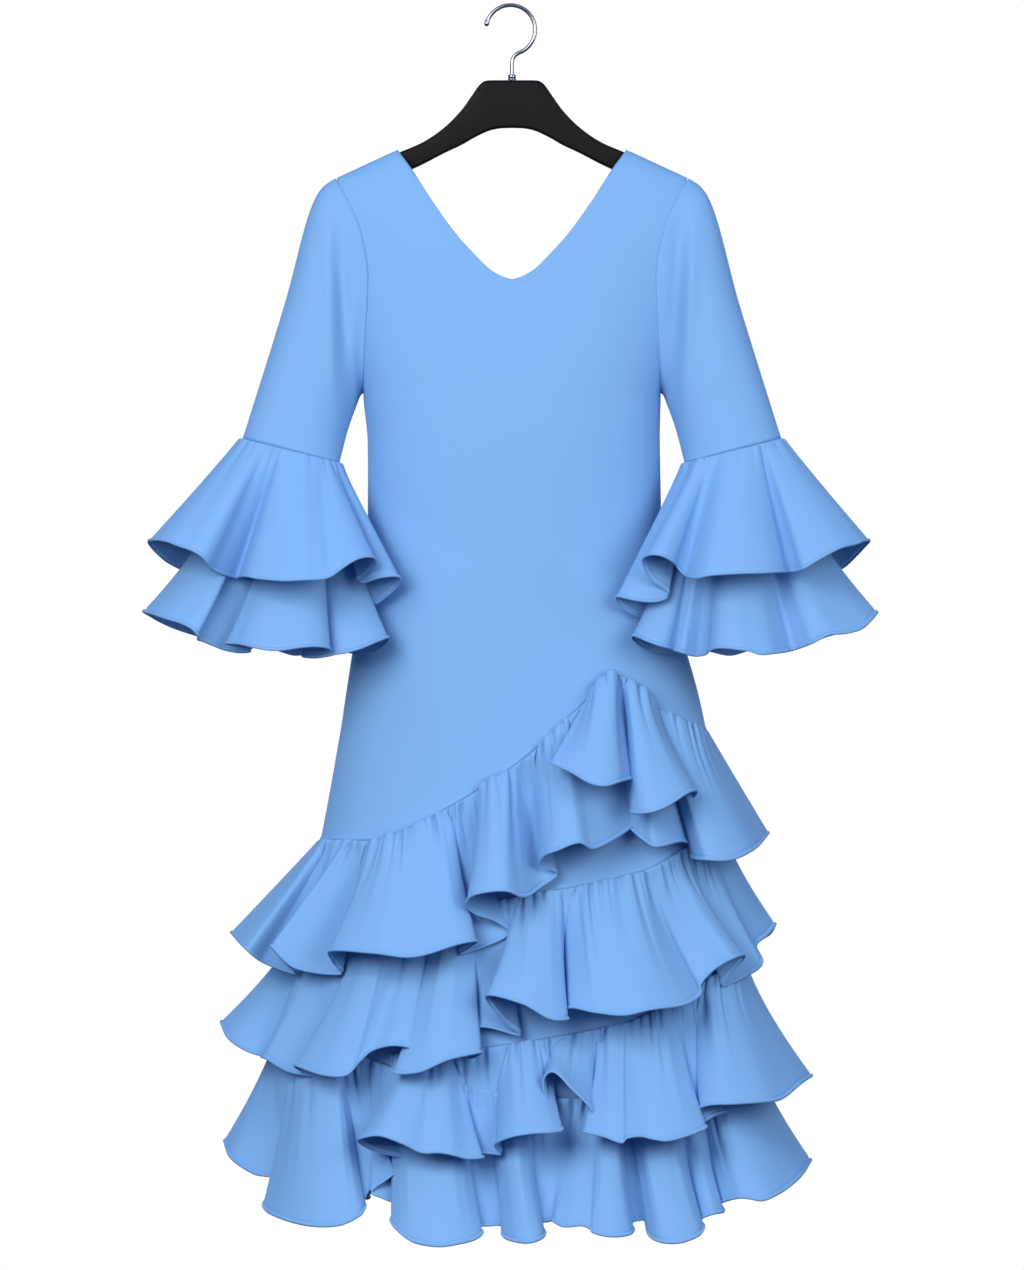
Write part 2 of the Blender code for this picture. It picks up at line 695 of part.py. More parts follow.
LEFT_SIDE, RIGHT_SIDE, NO_SIDE = (True, False), (False, True), (False, False)
add_flounce("flounce_1_front_left", FRONT, FLOUNCE_1_LEFT, HIP_SEAM, crepe, at_sides=LEFT_SIDE)
add_flounce("flounce_1_front_right", FRONT, FLOUNCE_1_RIGHT, HIP_SEAM, crepe, at_sides=RIGHT_SIDE)
add_flounce(
    "flounce_1_crossover", FRONT, CROSSOVER, HIP_SEAM, crepe, CROSSOVER_VALLEY, lap=2 * LAP, at_sides=NO_SIDE
)
add_flounce("flounce_2_front", FRONT, FLOUNCE_2_FRONT, SEAM_2, crepe, flare=TIER_FLARE)
add_flounce("flounce_3_front", FRONT, FLOUNCE_3_FRONT, SEAM_3, crepe, flare=TIER_FLARE, at_sides=RIGHT_SIDE)
add_flounce("flounce_4_front", FRONT, FLOUNCE_4_FRONT, SEAM_4, crepe, flare=TIER_FLARE)

shown = {
    1: (FLOUNCE_1_LEFT[0], FLOUNCE_1_RIGHT[-1], HIP_SEAM),
    2: (FLOUNCE_2_FRONT[0], FLOUNCE_2_FRONT[-1], SEAM_2),
    3: (FLOUNCE_3_FRONT[0], FLOUNCE_3_FRONT[-1], SEAM_3),
    4: (FLOUNCE_4_FRONT[0], FLOUNCE_4_FRONT[-1], SEAM_4),
}
for row in BACK_TIERS:
    tier = dict(zip(BACK_TIER_COLUMNS, row))
    first, last, seam = shown[tier["number"]]
    left, right = (first[1], first[3]), (last[2], last[5])
    goes_round = tier["number"] != SHORT_TIER
    seam_start = seam[0][0] if goes_round else first[0] - SHORT_TIER_INSET
    folds = plain_folds(left, right, tier["folds"], (seam_start, seam[-1][0]), tier["hem_dip"])
    name = f"flounce_{tier['number']}_back"
    behind = back_seam(seam, tier["seam_sag"])
    add_flounce(name, BACK, folds, behind, crepe, flare=tier["flare"], at_sides=(goes_round, True))

for side, word, upper, lower in (
    (-1, "left", CUFF_UPPER_LEFT, CUFF_LOWER_LEFT),
    (1, "right", CUFF_UPPER_RIGHT, CUFF_LOWER_RIGHT),
):
    add_sleeve(f"sleeve_{word}", side, crepe)
    add_cuff_ruffle(f"cuff_ruffle_upper_{word}", side, upper, CUFF_UPPER, crepe)
    add_cuff_ruffle(f"cuff_ruffle_lower_{word}", side, lower, CUFF_LOWER, crepe)
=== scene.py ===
import math

import bmesh
import bpy
import numpy as np
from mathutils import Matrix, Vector


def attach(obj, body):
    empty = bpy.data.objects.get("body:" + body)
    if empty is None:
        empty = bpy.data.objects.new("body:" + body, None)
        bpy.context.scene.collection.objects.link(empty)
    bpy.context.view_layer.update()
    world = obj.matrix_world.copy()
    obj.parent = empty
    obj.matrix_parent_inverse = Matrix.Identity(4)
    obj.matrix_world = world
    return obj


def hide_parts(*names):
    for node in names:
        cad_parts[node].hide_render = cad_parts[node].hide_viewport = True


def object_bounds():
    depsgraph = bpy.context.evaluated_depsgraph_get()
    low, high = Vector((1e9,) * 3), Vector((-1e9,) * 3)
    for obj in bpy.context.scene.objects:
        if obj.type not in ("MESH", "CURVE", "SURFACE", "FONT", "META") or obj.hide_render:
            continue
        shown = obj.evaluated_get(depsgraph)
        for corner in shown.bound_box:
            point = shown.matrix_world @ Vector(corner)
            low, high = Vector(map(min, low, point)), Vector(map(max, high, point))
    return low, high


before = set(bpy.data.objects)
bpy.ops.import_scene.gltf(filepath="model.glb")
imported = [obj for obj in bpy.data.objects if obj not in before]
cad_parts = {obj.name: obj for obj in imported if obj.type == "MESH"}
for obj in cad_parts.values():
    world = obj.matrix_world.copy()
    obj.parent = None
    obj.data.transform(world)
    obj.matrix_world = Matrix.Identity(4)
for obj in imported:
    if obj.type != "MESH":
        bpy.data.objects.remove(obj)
cad_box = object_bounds()
bpy.context.scene.view_settings.view_transform = "Standard"


# The hanger is one injection moulding in black ABS, 12 mm thick with rounded edges. A fine spark
# finish in the mould leaves it satin, so its upper edge carries a soft grey highlight.
MM = 0.001


def linear(hex_colour):
    """An sRGB hex colour as the linear one that shaders take."""
    values = [int(hex_colour[i : i + 2], 16) / 255 for i in (1, 3, 5)]
    return (*[v / 12.92 if v <= 0.04045 else ((v + 0.055) / 1.055) ** 2.4 for v in values], 1)


def add_node(tree, kind, inputs=None, **settings):
    """Adds a node. Each input is a value, or the output socket that feeds it."""
    node = tree.nodes.new(kind)
    for name, value in settings.items():
        setattr(node, name, value)
    for name, value in (inputs or {}).items():
        if isinstance(value, bpy.types.NodeSocket):
            tree.links.new(value, node.inputs[name])
        else:
            node.inputs[name].default_value = value
    return node


def new_material(name, colour, roughness, **sockets):
    """A material with a Principled shader, whose plain values are set on its own sockets."""
    material = bpy.data.materials.new(name)
    material.use_nodes = True
    shader = material.node_tree.nodes["Principled BSDF"]
    shader.inputs["Base Color"].default_value = linear(colour)
    shader.inputs["Roughness"].default_value = roughness
    for socket, value in sockets.items():
        shader.inputs[socket.replace("_", " ")].default_value = value
    return material, material.node_tree, shader


def table(rows, columns):
    """The rows of a table as one array for each named column."""
    return dict(zip(columns, np.array(rows, float).T))


def curve(at, knots, values):
    """A smooth curve through the knots that never overshoots them."""
    knots, values = np.asarray(knots, float), np.asarray(values, float)
    step = np.diff(knots)
    slope = np.diff(values) / step
    tangent = np.concatenate([slope[:1], slope[:-1], slope[-1:]])[: len(knots)]
    before, after = slope[:-1], slope[1:]
    same = before * after > 0
    total = np.where(same, before + after, 1)
    tangent[1:-1] = np.where(same, 2 * before * after / total, 0)
    tangent[-1] = slope[-1]
    at = np.clip(at, knots[0], knots[-1])
    i = np.clip(np.searchsorted(knots, at, side="right") - 1, 0, len(step) - 1)
    f = (at - knots[i]) / step[i]
    rise = f * f * (3 - 2 * f)
    start = f * (1 - f) ** 2 * step[i] * tangent[i]
    end = -f * f * (1 - f) * step[i] * tangent[i + 1]
    return values[i] * (1 - rise) + values[i + 1] * rise + start + end


def grid_of(columns, rows):
    """A flat grid of the unit square, with u and v of each of its vertices."""
    shape = bmesh.new()
    shape.loops.layers.uv.new("cloth")
    bmesh.ops.create_grid(shape, x_segments=columns, y_segments=rows, size=0.5, calc_uvs=True)
    at = np.array([v.co[:2] for v in shape.verts]) + 0.5
    return shape, at[:, 0], at[:, 1]


def add_piece(name, shape, material, slot, *nodes):
    """Makes the bmesh, in millimetres, a smooth piece in metres that stands for these nodes."""
    bmesh.ops.scale(shape, verts=shape.verts, vec=(MM, MM, MM))
    mesh = bpy.data.meshes.new(name)
    shape.to_mesh(mesh)
    shape.free()
    mesh.materials.append(material)
    mesh.shade_smooth()
    piece = bpy.data.objects.new(name, mesh)
    bpy.context.scene.collection.objects.link(piece)
    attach(piece, "root")
    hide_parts(*nodes)
    return piece


HANGER_THICK, HANGER_EDGE, HANGER_REACH = 12, 4, 188
HANGER = (
    (0, -84, -139),
    (12, -84, -139.4),
    (22, -84, -141),
    (30, -84.5, -143.6),
    (36, -88, -146.4),
    (45, -100, -151),
    (57, -117, -158),
    (78, -138.5, -168),
    (103, -155.5, -181),
    (132, -168, -194),
    (176, -188, -211),
    (184, -193, -212),
    (HANGER_REACH, -200, -206),
)
half = table(HANGER, ("x", "top", "bottom"))
shape, u, v = grid_of(200, 32)
x = HANGER_REACH * (2 * u - 1)
top = curve(np.abs(x), half["x"], half["top"])
bottom = curve(np.abs(x), half["x"], half["bottom"])
edge = np.minimum(HANGER_EDGE, (top - bottom) * 0.45)
corner = np.where(v > 0.999, 0, v * 4)
turn = (np.floor(corner) + np.clip((corner % 1) * 1.5 - 0.25, 0, 1)) * math.pi / 2
side_y = np.where((np.floor(corner) == 0) | (np.floor(corner) == 3), 1, -1)
side_z = np.where(np.floor(corner) < 2, 1, -1)
y = side_y * (HANGER_THICK / 2 - edge) + edge * np.cos(turn)
z = (top + bottom) / 2 + side_z * ((top - bottom) / 2 - edge) + edge * np.sin(turn)
for vertex, point in zip(shape.verts, np.stack([x, y, z], -1)):
    vertex.co = point
bmesh.ops.remove_doubles(shape, verts=shape.verts, dist=0.01)
bmesh.ops.holes_fill(shape, edges=[e for e in shape.edges if e.is_boundary], sides=0)
bmesh.ops.recalc_face_normals(shape, faces=shape.faces)

# ABS with a dull face that reflects little. The grain that spark erosion leaves is about 0.3 mm,
# and it is drawn 0.8 mm across so that it shows.
black_abs, tree, shader = new_material("black moulded ABS", "#0D0B0C", 0.5, Specular_IOR_Level=0.14)
place = add_node(tree, "ShaderNodeTexCoord").outputs["Object"]
grain = add_node(tree, "ShaderNodeTexNoise", {"Vector": place, "Scale": 1250.0, "Detail": 2.0})
wear = add_node(tree, "ShaderNodeTexNoise", {"Vector": place, "Scale": 22.0, "Detail": 3.0})
rough = add_node(tree, "ShaderNodeMapRange", {"Value": wear.outputs["Fac"], "To Min": 0.44, "To Max": 0.58})
relief = {"Height": grain.outputs["Fac"], "Strength": 0.25, "Distance": 0.0002}
bump = add_node(tree, "ShaderNodeBump", relief)
tree.links.new(rough.outputs["Result"], shader.inputs["Roughness"])
tree.links.new(bump.outputs["Normal"], shader.inputs["Normal"])
hanger = add_piece("hanger_moulding", shape, black_abs, "hanger_plastic", "hanger_body")


# The hook is 4.7 mm steel wire, bent cold to a round crown and swaged to a ball at its end, then
# nickel plated. A turned ferrule of the same finish caps the hanger where the hook goes in.
HOOK_WIRE, HOOK_RADIUS, HOOK_CENTRE_X = 4.7, 28.3, -1.7
HOOK_TIP_ANGLE, HOOK_DROP = 172, 38.6
HOOK_SWELL = ((0, 0.35), (0.8, 0.9), (2.2, 1.22), (4, 1.3), (6.5, 1.12), (9, 1.0))
crown_z = HOOK_WIRE / 2 - HOOK_RADIUS
bend = (HOOK_RADIUS**2 - HOOK_CENTRE_X**2 - HOOK_DROP**2) / (2 * (-HOOK_CENTRE_X - HOOK_RADIUS))
leave = math.asin(HOOK_DROP / (HOOK_RADIUS + bend))
crown = np.linspace(math.radians(HOOK_TIP_ANGLE), -leave, 140)
route = [(HOOK_CENTRE_X + HOOK_RADIUS * math.cos(a), crown_z + HOOK_RADIUS * math.sin(a)) for a in crown]
for angle in np.linspace(leave, 0, 24)[1:]:
    route.append((bend * (1 - math.cos(angle)), crown_z - HOOK_DROP + bend * math.sin(angle)))
route.append((0, HANGER[0][1] - 2))
wire = bpy.data.curves.new("hook_wire", "CURVE")
wire.dimensions = "3D"
wire.bevel_depth = HOOK_WIRE / 2 * MM
wire.bevel_resolution = 7
wire.use_fill_caps = True
spline = wire.splines.new("POLY")
spline.points.add(len(route) - 1)
spline.use_smooth = True
run = 0
for i, (point, (x, z)) in enumerate(zip(spline.points, route)):
    run += math.dist(route[i - 1], route[i]) if i else 0
    point.co = (x * MM, 0, z * MM, 1)
    point.radius = np.interp(run, *np.array(HOOK_SWELL).T)

# Nickel plate on drawn steel: bright, with faint lines along the wire that blur its reflections.
nickel, tree, shader = new_material("nickel plated steel", "#9A9CA0", 0.2, Metallic=1.0)
place = add_node(tree, "ShaderNodeTexCoord").outputs["Object"]
blur = add_node(tree, "ShaderNodeTexNoise", {"Vector": place, "Scale": 160.0, "Detail": 3.0})
rough = add_node(tree, "ShaderNodeMapRange", {"Value": blur.outputs["Fac"], "To Min": 0.14, "To Max": 0.28})
bump = add_node(tree, "ShaderNodeBump", {"Height": blur.outputs["Fac"], "Strength": 0.1, "Distance": 0.0001})
tree.links.new(rough.outputs["Result"], shader.inputs["Roughness"])
tree.links.new(bump.outputs["Normal"], shader.inputs["Normal"])
wire.materials.append(nickel)
hook = bpy.data.objects.new("hook_wire", wire)
bpy.context.scene.collection.objects.link(hook)
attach(hook, "root")
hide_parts("hanger_hook")

FERRULE = (
    (2.4, 0.2),
    (4.7, 0.2),
    (4.7, 1.4),
    (4.3, 1.8),
    (4.3, 2.4),
    (4.7, 2.8),
    (4.7, 5.2),
    (4.3, 6.1),
    (3.4, 6.6),
    (2.4, 6.6),
)
ferrule_foot = HANGER[0][1]
shape = bmesh.new()
rim = [shape.verts.new((x, 0, ferrule_foot + z)) for x, z in FERRULE]
edges = [shape.edges.new(pair) for pair in zip(rim, rim[1:])]
bmesh.ops.spin(
    shape, geom=rim + edges, axis=(0, 0, 1), cent=(0, 0, 0), angle=2 * math.pi, steps=48, use_merge=True
)
bmesh.ops.recalc_face_normals(shape, faces=shape.faces)
add_piece("hook_ferrule", shape, nickel, "hook_steel", "hanger_collar")


# Front and back of the bodice, each cut in one from shoulder to hip in a matt stretch crepe and
# pressed smooth. The V neckline is faced and topstitched, and a few soft drag folds show the hang.
CLOTH = 0.9
ROUNDNESS = 2.3
FRONT, BACK = -1, 1
OFF_MIDDLE = 0.1
NECK_POINT_X, NECK_POINT_Z = 132, -164
SHOULDER_TIP_X, SHOULDER_TIP_Z, SHOULDER_DEPTH = 203, -197, 26
UNDERARM_Z, ARMHOLE_DEPTH, ARMHOLE_MOST = -443, 42, 0.9
SECTIONS = (
    (-197, 203, 36, 0),
    (-225, 187, 44, 0),
    (-260, 173, 53, 0),
    (-310, 165, 63, 0),
    (-390, 169, 76, 0),
    (-443, 171, 82, 0),
    (-500, 168, 85, 2),
    (-590, 169, 86, 3),
    (-680, 180, 89, 5),
    (-797, 204, 97, 12),
    (-831, 210, 100, 13),
    (-957, 232, 114, 12),
    (-1084, 258, 132, 8),
    (-1199, 276, 149, 4),
    (-1280, 286, 160, 2),
)
BODY = table(SECTIONS, ("z", "edge", "depth", "lean"))


def section(z):
    """The dress's half width, half depth, lean and armhole half depth at each height."""
    below = -np.minimum(z, SHOULDER_TIP_Z)
    edge, depth, lean = (curve(below, -BODY["z"], BODY[key]) for key in ("edge", "depth", "lean"))
    up = np.clip((z - SHOULDER_TIP_Z) / (NECK_POINT_Z - SHOULDER_TIP_Z), 0, 1)
    edge = edge + up * (NECK_POINT_X - SHOULDER_TIP_X)
    depth = depth + up * (SHOULDER_DEPTH - BODY["depth"][0])
    middle = (SHOULDER_TIP_Z + UNDERARM_Z) / 2
    off = (z - middle) / (SHOULDER_TIP_Z - middle)
    armhole = ARMHOLE_DEPTH * np.sqrt(np.clip(1 - off**2, 0, None))
    return edge, depth, lean, np.minimum(armhole, ARMHOLE_MOST * depth)


def body(s, z, side, out=0.0):
    """Points of the dress at share s of its half width and height z, moved out from the cloth."""
    edge, depth, lean, armhole = section(z)
    kept = 1 - (armhole / depth) ** ROUNDNESS
    y = depth * np.clip(1 - np.abs(s) ** ROUNDNESS * kept, 0, 1) ** (1 / ROUNDNESS)
    normal_x = np.sign(s) * np.abs(s) ** (ROUNDNESS - 1) / edge
    normal_y = (y / depth) ** (ROUNDNESS - 1) / depth
    length = np.hypot(normal_x, normal_y)
    x = lean + s * edge + out * normal_x / length
    return np.stack([x, side * np.maximum(y + out * normal_y / length, OFF_MIDDLE), z], -1)


def share_at(turn):
    """Share of the half width at each turn, from -1 to 1, so that points crowd at the round sides."""
    return np.sign(turn) * np.abs(np.sin(turn * math.pi / 2)) ** (2 / ROUNDNESS)


def turn_at(share):
    """The turn that share_at makes this share from."""
    share = np.clip(share, -1, 1)
    return np.sign(share) * np.arcsin(np.abs(share) ** (ROUNDNESS / 2)) * 2 / math.pi


def back_seam(seam, sag):
    """The seam behind: a plain shallow curve between the two sides' heights."""
    (left, left_z), (right, right_z) = seam[0], seam[-1]
    return (seam[0], ((left + right) / 2, (left_z + right_z) / 2 - sag), seam[-1])


def on_seam(seam, s):
    """Height of the seam at each share of the half width."""
    xs, zs = np.array(seam, float).T
    z = np.full_like(s, seam[0][1], dtype=float)
    for _ in range(8):
        edge, _, lean, _ = section(z)
        z = curve(lean + s * edge, xs, zs)
    return z


def crease(x, z, folds):
    """How far soft folds push the cloth out (or in, below zero) at x and z."""
    out = np.zeros_like(x)
    for x0, z0, x1, z1, width, height in folds:
        run = math.hypot(x1 - x0, z1 - z0)
        along = ((x - x0) * (x1 - x0) + (z - z0) * (z1 - z0)) / run**2
        across = ((x - x0) * (z1 - z0) - (z - z0) * (x1 - x0)) / run / width
        fade = np.clip(1 - (2 * along - 1) ** 2, 0, 1)
        out += height * fade * np.exp(-(across**2))
    return out


def add_cloth(name, shape, points, cloth, nodes, closed=False):
    """A thin shell of cloth on these points."""
    for vertex, point in zip(shape.verts, points):
        vertex.co = point
    if closed:
        bmesh.ops.remove_doubles(shape, verts=shape.verts, dist=0.01)
    area = sum(face.calc_area() for face in shape.faces)
    shape.normal_update()
    centre = np.mean(points, axis=0) if closed else np.array((0, 0, 0))
    facing = 0
    for face in list(shape.faces)[:: max(1, len(shape.faces) // 400)]:
        away = np.array(face.calc_center_median()) - centre
        away[2] = 0
        facing += np.dot(away, face.normal)
    if facing < 0:
        bmesh.ops.reverse_faces(shape, faces=shape.faces)
    piece = add_piece(name, shape, cloth, "crepe", *nodes)
    wall = piece.modifiers.new("cloth", "SOLIDIFY")
    wall.thickness = CLOTH * MM
    wall.offset = -1


# Stretch crepe, about 300 g/m2: dry and matt, its twisted yarn gives a pebbly grain of about
# 0.3 mm that is drawn 1.1 mm across, wider than high, with a soft bloom of fibre at grazing angles.
CREPE_BLUE, CREPE_SHADE = "#7CABDA", "#74A3D4"
blue_crepe, tree, shader = new_material("sky blue crepe", CREPE_BLUE, 0.82, IOR=1.45, Sheen_Weight=0.2)
shader.inputs["Sheen Roughness"].default_value = 0.45
shader.inputs["Sheen Tint"].default_value = linear("#B4D4FF")
shader.inputs["Specular IOR Level"].default_value = 0.25
place = add_node(tree, "ShaderNodeTexCoord").outputs["UV"]
stretched = add_node(tree, "ShaderNodeMapping", {"Vector": place, "Scale": (450.0, 900.0, 1.0)})
dots = {"Vector": stretched.outputs["Vector"], "Scale": 1.0, "Detail": 3.0}
pebble = add_node(tree, "ShaderNodeTexNoise", dots)
yarns = add_node(tree, "ShaderNodeMapping", {"Vector": place, "Scale": (60.0, 620.0, 1.0)})
lines = {"Vector": yarns.outputs["Vector"], "Scale": 1.0, "Detail": 2.0}
weft = add_node(tree, "ShaderNodeTexNoise", lines)
both = add_node(tree, "ShaderNodeMath", {0: pebble.outputs["Fac"], 1: weft.outputs["Fac"]}, operation="ADD")
tint = add_node(
    tree,
    "ShaderNodeMix",
    {"Factor": pebble.outputs["Fac"], "A": linear(CREPE_SHADE), "B": linear(CREPE_BLUE)},
    data_type="RGBA",
)
tree.links.new(tint.outputs["Result"], shader.inputs["Base Color"])
relief = {"Height": both.outputs["Value"], "Strength": 0.22, "Distance": 0.0004}
bump = add_node(tree, "ShaderNodeBump", relief)
tree.links.new(bump.outputs["Normal"], shader.inputs["Normal"])

NECK = (
    (-314, 0),
    (-312.6, 6),
    (-309, 15),
    (-302, 26),
    (-291, 37.5),
    (-262, 64),
    (-223, 92),
    (-187, 115),
    (-164, 132),
)
HIP_SEAM = (
    (-218, -957),
    (-164, -957),
    (-119, -944),
    (-73, -919),
    (-15, -883),
    (30, -849),
    (56, -824),
    (87, -793),
    (104, -773),
    (112, -765),
    (129, -771),
    (142, -781),
    (156, -800),
    (180, -814),
    (203, -826),
    (224, -831),
)
HIP_SAG, BACK_NECK_DROP = 10, 5
SEAM_GAP = 0.3
STITCH_IN, STITCH_DEPTH, STITCH_WIDTH = 7, 0.45, 1.3
NECK_ROLL, NECK_ROLL_WIDTH = 0.8, 1.2
HIP_EASE, HIP_EASE_WIDTH = 1.2, 2.5
# Each soft fold: x and z of its two ends, its width, and its height, which is below zero for a dip.
FRONT_FOLDS = (
    (-168, -470, -60, -350, 16, 1.6),
    (166, -470, 70, -360, 15, 1.4),
    (-150, -560, -40, -640, 26, -1.5),
    (150, -600, 60, -700, 28, 1.5),
    (-120, -700, -60, -930, 30, 1.8),
    (40, -640, 90, -780, 24, -1.4),
    (-30, -330, 20, -560, 34, 1.0),
)
BACK_FOLDS = (
    (-160, -460, -50, -380, 18, 1.8),
    (160, -455, 40, -390, 16, 1.5),
    (-110, -620, 60, -600, 22, -2.0),
    (120, -680, -30, -640, 24, 2.0),
    (-60, -720, -90, -930, 30, 2.0),
    (70, -700, 110, -850, 26, -1.6),
)
for name, side, drop, seam, folds, node in (
    ("bodice_front", FRONT, 0, HIP_SEAM, FRONT_FOLDS, "front"),
    ("bodice_back", BACK, BACK_NECK_DROP, back_seam(HIP_SEAM, HIP_SAG), BACK_FOLDS, "back"),
):
    neck_z, half_width = np.array(NECK, float).T
    neck_z = neck_z - drop * (1 - (neck_z - neck_z[0]) / (neck_z[-1] - neck_z[0]))
    heights = np.linspace(neck_z[0], neck_z[-1], 300)
    shares = curve(heights, neck_z, half_width) / section(heights)[0]
    tip = (NECK_POINT_Z - SHOULDER_TIP_Z) / (NECK_POINT_Z - UNDERARM_Z)
    shape, u, v = grid_of(160, 110)
    s = share_at(2 * u - 1)
    neck_top = np.interp(np.abs(s), shares, heights)
    hip = on_seam(seam, s) + SEAM_GAP
    step = np.interp(v, (0, 0.06, 0.15, 0.5, 0.97, 1), (0, tip / 2, tip, 1, 1.985, 2))
    z = neck_top + (UNDERARM_Z - neck_top) * np.minimum(step, 1)
    z = z + (hip - UNDERARM_Z) * np.maximum(step - 1, 0)
    below_neck = (neck_top - z) * 0.75
    stitch = -STITCH_DEPTH * np.exp(-(((below_neck - STITCH_IN) / STITCH_WIDTH) ** 2)) * (np.abs(s) < 0.995)
    neck_roll = -NECK_ROLL * np.exp(-below_neck / NECK_ROLL_WIDTH)
    hip_ease = HIP_EASE * np.exp(-(z - hip) / HIP_EASE_WIDTH)
    x = section(z)[2] + s * section(z)[0]
    fade = np.clip((1 - np.abs(s)) / 0.08, 0, 1) * np.clip((z - hip) / 40, 0, 1)
    points = body(s, z, side, stitch + neck_roll + hip_ease + crease(x, z, folds) * fade)
    add_cloth(name, shape, points, blue_crepe, (node,))


# The base of the skirt is a plain ring of the same crepe. It shows only where the first flounce is
# lifted, and carries the seams that the other flounces are gathered on to.
SEAM_2 = ((-256, -1050), (17, -1018), (146, -992), (235, -938))
SEAM_3 = ((-275, -1195), (-137, -1199), (126, -1165), (268, -1088))
SEAM_4 = ((-272, -1158), (-100, -1225), (64, -1250), (180, -1240), (284, -1206))
SEAM_4_SAG, HEM_SHORT = 45, 6
for name, side, top_seam, hem_seam, node in (
    ("skirt_base_front", FRONT, HIP_SEAM, SEAM_4, "skirt_front"),
    ("skirt_base_back", BACK, back_seam(HIP_SEAM, HIP_SAG), back_seam(SEAM_4, SEAM_4_SAG), "skirt_back"),
):
    shape, u, v = grid_of(90, 36)
    s = share_at(2 * u - 1)
    top_z = on_seam(top_seam, s) - SEAM_GAP
    z = top_z + (on_seam(hem_seam, s) - HEM_SHORT - top_z) * v
    points = body(s, z, side)
    add_cloth(name, shape, points, blue_crepe, (node,))


# Four tiers of flounces, cut on a curve so that the hem is two to three times as long as the seam.
# Each is gathered into its seam and falls in deep flutes to a narrow rolled hem.
ROLL, ROLL_HEIGHT = 4.2, 1.7
HEM_STITCH_IN, HEM_STITCH_DEPTH, HEM_STITCH_WIDTH = 1.1, 0.9, 0.9
PLEAT, PLEAT_HEIGHT, PLEAT_LENGTH = 11, 6.0, 24
PUFF, PUFF_HEIGHT, PUFF_LENGTH = 31, 5.0, 58
SEAM_WEIGHT = 2.2
TIER_FLARE = 1.35
STAND_MIDDLE, STAND_SWING, FLUTE_REACH = 68, 1.3, 45
HALF_ROUND = 300  # mm of seam from the middle to a side, near enough
FLOUNCE_ROWS, OFF_CLOTH, OFF_FLOUNCE = 34, 0.8, 4.0


def smooth_line(points, count, seam_column=0, closed=False):
    """count points along a smooth line through these, evenly spaced by hem and seam together."""
    points = np.asarray(points, float)
    if closed:
        points = np.vstack([points, points[:1]])
        points[-1, seam_column] += 360
    hem = np.delete(points, seam_column, axis=1)
    knots = np.concatenate([[0], np.cumsum(np.linalg.norm(np.diff(hem, axis=0), axis=1) ** 0.7 + 0.5)])
    ahead, behind = np.roll(hem, -1, axis=0), np.roll(hem, 1, axis=0)
    if closed:
        ahead[-1], behind[0] = hem[1], hem[-2]
        span = np.concatenate([knots[1:], [knots[-1] + knots[1]]]) - np.concatenate(
            [[knots[-2] - knots[-1]], knots[:-1]]
        )
        tangents = (ahead - behind) / span[:, None]
    else:
        ahead[-1], behind[0] = hem[-1], hem[0]
        span = np.concatenate([knots[1:], knots[-1:]]) - np.concatenate([knots[:1], knots[:-1]])
        tangents = (ahead - behind) / span[:, None]
    fine = np.linspace(0, knots[-1], 40 * len(points))
    i = np.clip(np.searchsorted(knots, fine, side="right") - 1, 0, len(knots) - 2)
    step = np.diff(knots)[i][:, None]
    f = ((fine - knots[i]) / step[:, 0])[:, None]
    rise = f * f * (3 - 2 * f)
    line = hem[i] * (1 - rise) + hem[i + 1] * rise
    line = line + step * (f * (1 - f) ** 2 * tangents[i] - f * f * (1 - f) * tangents[i + 1])
    seam = curve(fine, knots, points[:, seam_column])
    weight = 0.0 if closed else SEAM_WEIGHT
    run = np.linalg.norm(np.diff(line, axis=0), axis=1) + weight * np.abs(np.diff(seam))
    run = np.concatenate([[0], np.cumsum(run)])
    at = np.linspace(0, run[-1], count)
    columns = [np.interp(at, run, line[:, k]) for k in range(line.shape[1])]
    return np.interp(at, run, seam), np.stack(columns, -1)


def offset_point(x, stand, edge, depth, lean):
    """y of the point at this x on the outline that stands off a level section."""
    turns = np.linspace(-1, 1, 181)
    s = share_at(turns)
    y = (1 - np.abs(s) ** ROUNDNESS) ** (1 / ROUNDNESS)
    normal_x = np.sign(s) * np.abs(s) ** (ROUNDNESS - 1) / edge
    normal_y = y ** (ROUNDNESS - 1) / depth
    length = np.hypot(normal_x, normal_y)
    xs = lean + edge * s + stand * normal_x / length
    return np.interp(x, xs, depth * y + stand * normal_y / length)


def clear_of_body(points, clearance):
    """Moves points that would be inside the dress out to just off its side."""
    edge, depth, lean, _ = section(points[:, 2])
    across = np.abs(points[:, 0] - lean) / (edge + clearance)
    through = np.abs(points[:, 1]) / (depth + clearance)
    level = across**ROUNDNESS + through**ROUNDNESS
    push = np.where(level < 1, np.maximum(level, 1e-6) ** (-1 / ROUNDNESS), 1)
    moved = points.copy()
    moved[:, 0] = lean + (points[:, 0] - lean) * push
    moved[:, 1] = points[:, 1] * push
    return moved


def gathers(along, down, seed):
    """Height of the pleats and puffs below the gathering stitches, uneven in width and length."""
    wander = 0.8 * np.sin(along / 11.3 + seed) + 0.5 * np.sin(along / 5.1 + 2 * seed)
    pleats = np.abs(np.sin(math.pi * along / PLEAT + wander)) ** 0.55
    puffs = np.abs(np.sin(math.pi * along / PUFF + 1.3 * wander + seed))
    length = PLEAT_LENGTH + 9 * np.sin(along / 17.3 + seed) + 6 * np.sin(along / 7.7)
    reach = PUFF_LENGTH + 24 * np.sin(along / 37 + seed)
    start = np.clip(down / 3.5, 0, 1) ** 0.7
    near = PLEAT_HEIGHT * pleats * np.exp(-down / length)
    return start * (near + PUFF_HEIGHT * puffs * np.exp(-((down / reach) ** 2)))


